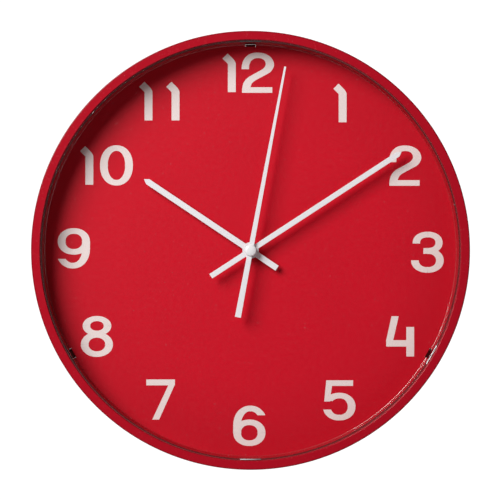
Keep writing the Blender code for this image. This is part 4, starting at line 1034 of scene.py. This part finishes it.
def build_contact(bm, x0, x1, dimple):
    """A contact plate between two x, with a round dimple that reaches to another x."""
    y, h = BATTERY_AXIS
    outline = rounded_box((y - 5.5, y + 5.5), (h - 4.5, h + 5.0), 1.2)
    slab(bm, [outline], x0, x1, 0.08, matrix=ACROSS)
    middle = 0.5 * (x0 + x1)
    boss = bmesh.new()
    lathe(boss, rounded([(0.0, dimple, 0.0), (1.6, dimple, 0.1), (2.4, middle, 0.0), (0.0, middle, 0.0)],
                        3, False), 32, closed=False)
    bmesh.ops.transform(boss, matrix=shift(0.0, y, h) @ ALONG_X, verts=boss.verts)
    spare = bpy.data.meshes.new("boss")
    boss.to_mesh(spare)
    boss.free()
    bm.from_mesh(spare)
    bpy.data.meshes.remove(spare)


def spring_mesh():
    low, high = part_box("battery_spring")
    wire = SPRING_WIRE_R * MM
    curve = bpy.data.curves.new("spring", "CURVE")
    curve.dimensions = "3D"
    curve.bevel_depth = wire
    curve.bevel_resolution = 4
    curve.use_fill_caps = True
    spline = curve.splines.new("POLY")
    count = 96
    spline.points.add(count)
    for i in range(count + 1):
        share = i / count
        angle = 2.0 * math.pi * SPRING_TURNS * share
        coil_r = (SPRING_WIDE_R + (SPRING_NARROW_R - SPRING_WIDE_R) * share) * MM
        x = low.x + wire + (high.x - low.x - 2.0 * wire) * share
        spline.points[i].co = (x, BATTERY_AXIS[0] * MM + coil_r * math.cos(angle),
                               BATTERY_AXIS[1] * MM + coil_r * math.sin(angle), 1.0)
    mesh = baked(place("spring", curve))
    mesh.transform(UPRIGHT)
    mesh.shade_smooth()
    return mesh


def hanger():
    """A bent plate with a keyhole, two rounded upper corners and two rivet holes."""
    low = COVER_HALF + 0.3
    rear, front = reach("hanger_plate")
    inside = rear + HANGER_T
    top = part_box("hanger_plate")[1].z / MM
    bent = rounded([(top, rear, 0.15), (top, inside, 0.15), (low + HANGER_T, inside, 0.5),
                    (low + HANGER_T, front, 0.1), (low, front, 0.1), (low, rear, 1.5)], 5)
    body = made("bent", slab, [bent], -HANGER_HALF_W, HANGER_HALF_W, matrix=ACROSS)
    through_plate = (rear - 1.0, rear + 3.0)
    turn = math.degrees(math.asin(KEYHOLE_SLOT_R / KEYHOLE_R))
    keyhole = polar_arc((0.0, KEYHOLE_Y), KEYHOLE_R, 90.0 + turn, 450.0 - turn, 40)
    keyhole += polar_arc((0.0, KEYHOLE_SLOT_Y), KEYHOLE_SLOT_R, 0.0, 180.0, 12)
    tools = [made("keyhole", slab, [keyhole], *through_plate)]
    x, past = HANGER_HALF_W - HANGER_CORNER_R, HANGER_HALF_W + 0.5
    for sign in (-1.0, 1.0):
        corner = [(sign * past, top + 0.5), (sign * x, top + 0.5), (sign * x, top)]
        corner += polar_arc((sign * x, top - HANGER_CORNER_R), HANGER_CORNER_R, 90.0, 90.0 - sign * 90.0, 8)
        corner.append((sign * past, top - HANGER_CORNER_R))
        tools.append(made("corner", slab, [corner], *through_plate))
        tools.append(made("rivet", build_hole, (sign * RIVET_AT[0], RIVET_AT[1]), RIVET_R, *through_plate))
    return carve(body, tools)


positive = made("contact_plate_positive", build_contact, BATTERY_END + 0.2, BATTERY_END + 0.7,
                BATTERY_END + 0.05)
negative = made("contact_plate_negative", build_contact, BATTERY_START - 1.75, BATTERY_START - 1.35,
                BATTERY_START - 1.30)
add_piece("battery_cell", made("battery_cell", build_battery), "battery", JACKET,
          ["aa_battery"])
add_piece("contact_plate_positive", positive, "case", NICKEL, ["battery_contact_positive"])
add_piece("contact_plate_negative", negative, "case", NICKEL, ["battery_contact_negative"])
add_piece("contact_coil_spring", spring_mesh(), "case", NICKEL, ["battery_spring"])
add_piece("hanger_bracket", hanger(), "case", STEEL, ["hanger_plate"], edge=0.12)


# ---------------------------------------------------------------- train and motor, as CAD shapes

KEPT = (
    (NATURAL, ("hour_wheel", "centre_wheel", "third_wheel", "intermediate_wheel")),
    (YELLOW, ("cannon_pinion", "minute_wheel", "seconds_wheel", "rotor_pinion", "setting_pinion")),
    (STEEL, ("seconds_arbor", "core_screw_left", "core_screw_right", "quartz_crystal")),
    (IRON, ("stator", "coil_core")), (FERRITE, ("rotor_magnet",)), (BLACK, ("coil_bobbin",)),
    (WIRE, ("coil_winding",)), (BOARD, ("circuit_board",)), (EPOXY, ("ic_cover",)))
for mat, names in KEPT:
    for name in names:
        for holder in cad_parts[name].material_slots:
            holder.material = mat


# ---------------------------------------------------------------- floor, light and camera

def floor_material():
    mat, shader, where = blank("pale_floor")
    tone = noise(mat, where, 3.0, 4.0)
    shade = blend(mat, remap(mat, tone, 0.3, 0.7), (0.80, 0.80, 0.80), (0.84, 0.84, 0.84))
    link(mat, shade, shader, "Base Color")
    link(mat, remap(mat, tone, 0.3, 0.7, 0.6, 0.7), shader, "Roughness")
    return mat


def add_floor():
    bm = bmesh.new()
    bmesh.ops.create_circle(bm, cap_ends=True, segments=128, radius=FLOOR_R)
    mesh = bpy.data.meshes.new("floor")
    bm.to_mesh(mesh)
    bm.free()
    mesh.materials.append(floor_material())
    floor = place("floor", mesh)
    floor.location.z = FLOOR_Z


def add_light(name, power, size, clock_angle, tilt, distance):
    """An area light that faces the dial from a clock direction, tilted off the dial's axis."""
    data = bpy.data.lights.new(name, "AREA")
    data.energy = power
    data.shape = "DISK"
    data.size = size
    lamp = place(name, data)
    around, off = math.radians(clock_angle), math.radians(tilt)
    way = Vector((math.sin(around) * math.sin(off), -math.cos(off), math.cos(around) * math.sin(off)))
    lamp.location = way * distance
    lamp.rotation_euler = way.to_track_quat("Z", "Y").to_euler()


def add_world():
    """Soft light all round; the backdrop itself is seen as plain white."""
    world = bpy.data.worlds.new("studio")
    bpy.context.scene.world = world
    world.use_nodes = True
    nodes, links = world.node_tree.nodes, world.node_tree.links
    nodes.clear()
    soft, white = nodes.new("ShaderNodeBackground"), nodes.new("ShaderNodeBackground")
    soft.inputs["Color"].default_value = (1.0, 0.99, 0.985, 1.0)
    soft.inputs["Strength"].default_value = 0.02
    white.inputs["Strength"].default_value = 1.1
    white.inputs["Color"].default_value = (1.0, 1.0, 1.0, 1.0)
    path, mix = nodes.new("ShaderNodeLightPath"), nodes.new("ShaderNodeMixShader")
    out = nodes.new("ShaderNodeOutputWorld")
    links.new(path.outputs["Is Camera Ray"], mix.inputs[0])
    links.new(soft.outputs[0], mix.inputs[1])
    links.new(white.outputs[0], mix.inputs[2])
    links.new(mix.outputs[0], out.inputs["Surface"])


def add_camera(azimuth, elevation, distance, width_seen):
    """A camera at a distance from the dial; width_seen is how much fits across at the ring's front."""
    data = bpy.data.cameras.new("camera")
    data.sensor_width = 36.0
    away = distance - CASE_FRONT * MM
    data.lens = data.sensor_width * away / width_seen
    data.clip_end = 20.0
    camera = place("camera", data)
    a, e = math.radians(azimuth), math.radians(elevation)
    back = Vector((math.sin(a) * math.cos(e), -math.cos(a) * math.cos(e), math.sin(e)))
    aim = Vector((AIM[0] * MM, -CASE_FRONT * MM, AIM[1] * MM))
    camera.location = aim + back * away
    camera.rotation_euler = back.to_track_quat("Z", "Y").to_euler()
    bpy.context.scene.camera = camera


add_floor()
add_world()
add_light("key", power=36.5, size=1.0, clock_angle=309.0, tilt=46.5, distance=1.6)
add_light("side_fill", power=2.6, size=1.0, clock_angle=105.0, tilt=50.0, distance=1.4)
add_light("back_fill", power=10.0, size=1.2, clock_angle=30.0, tilt=160.0, distance=1.8)
add_camera(azimuth=0.0, elevation=-0.5, distance=2.25, width_seen=0.3187)
bpy.context.scene.view_settings.view_transform = "Standard"
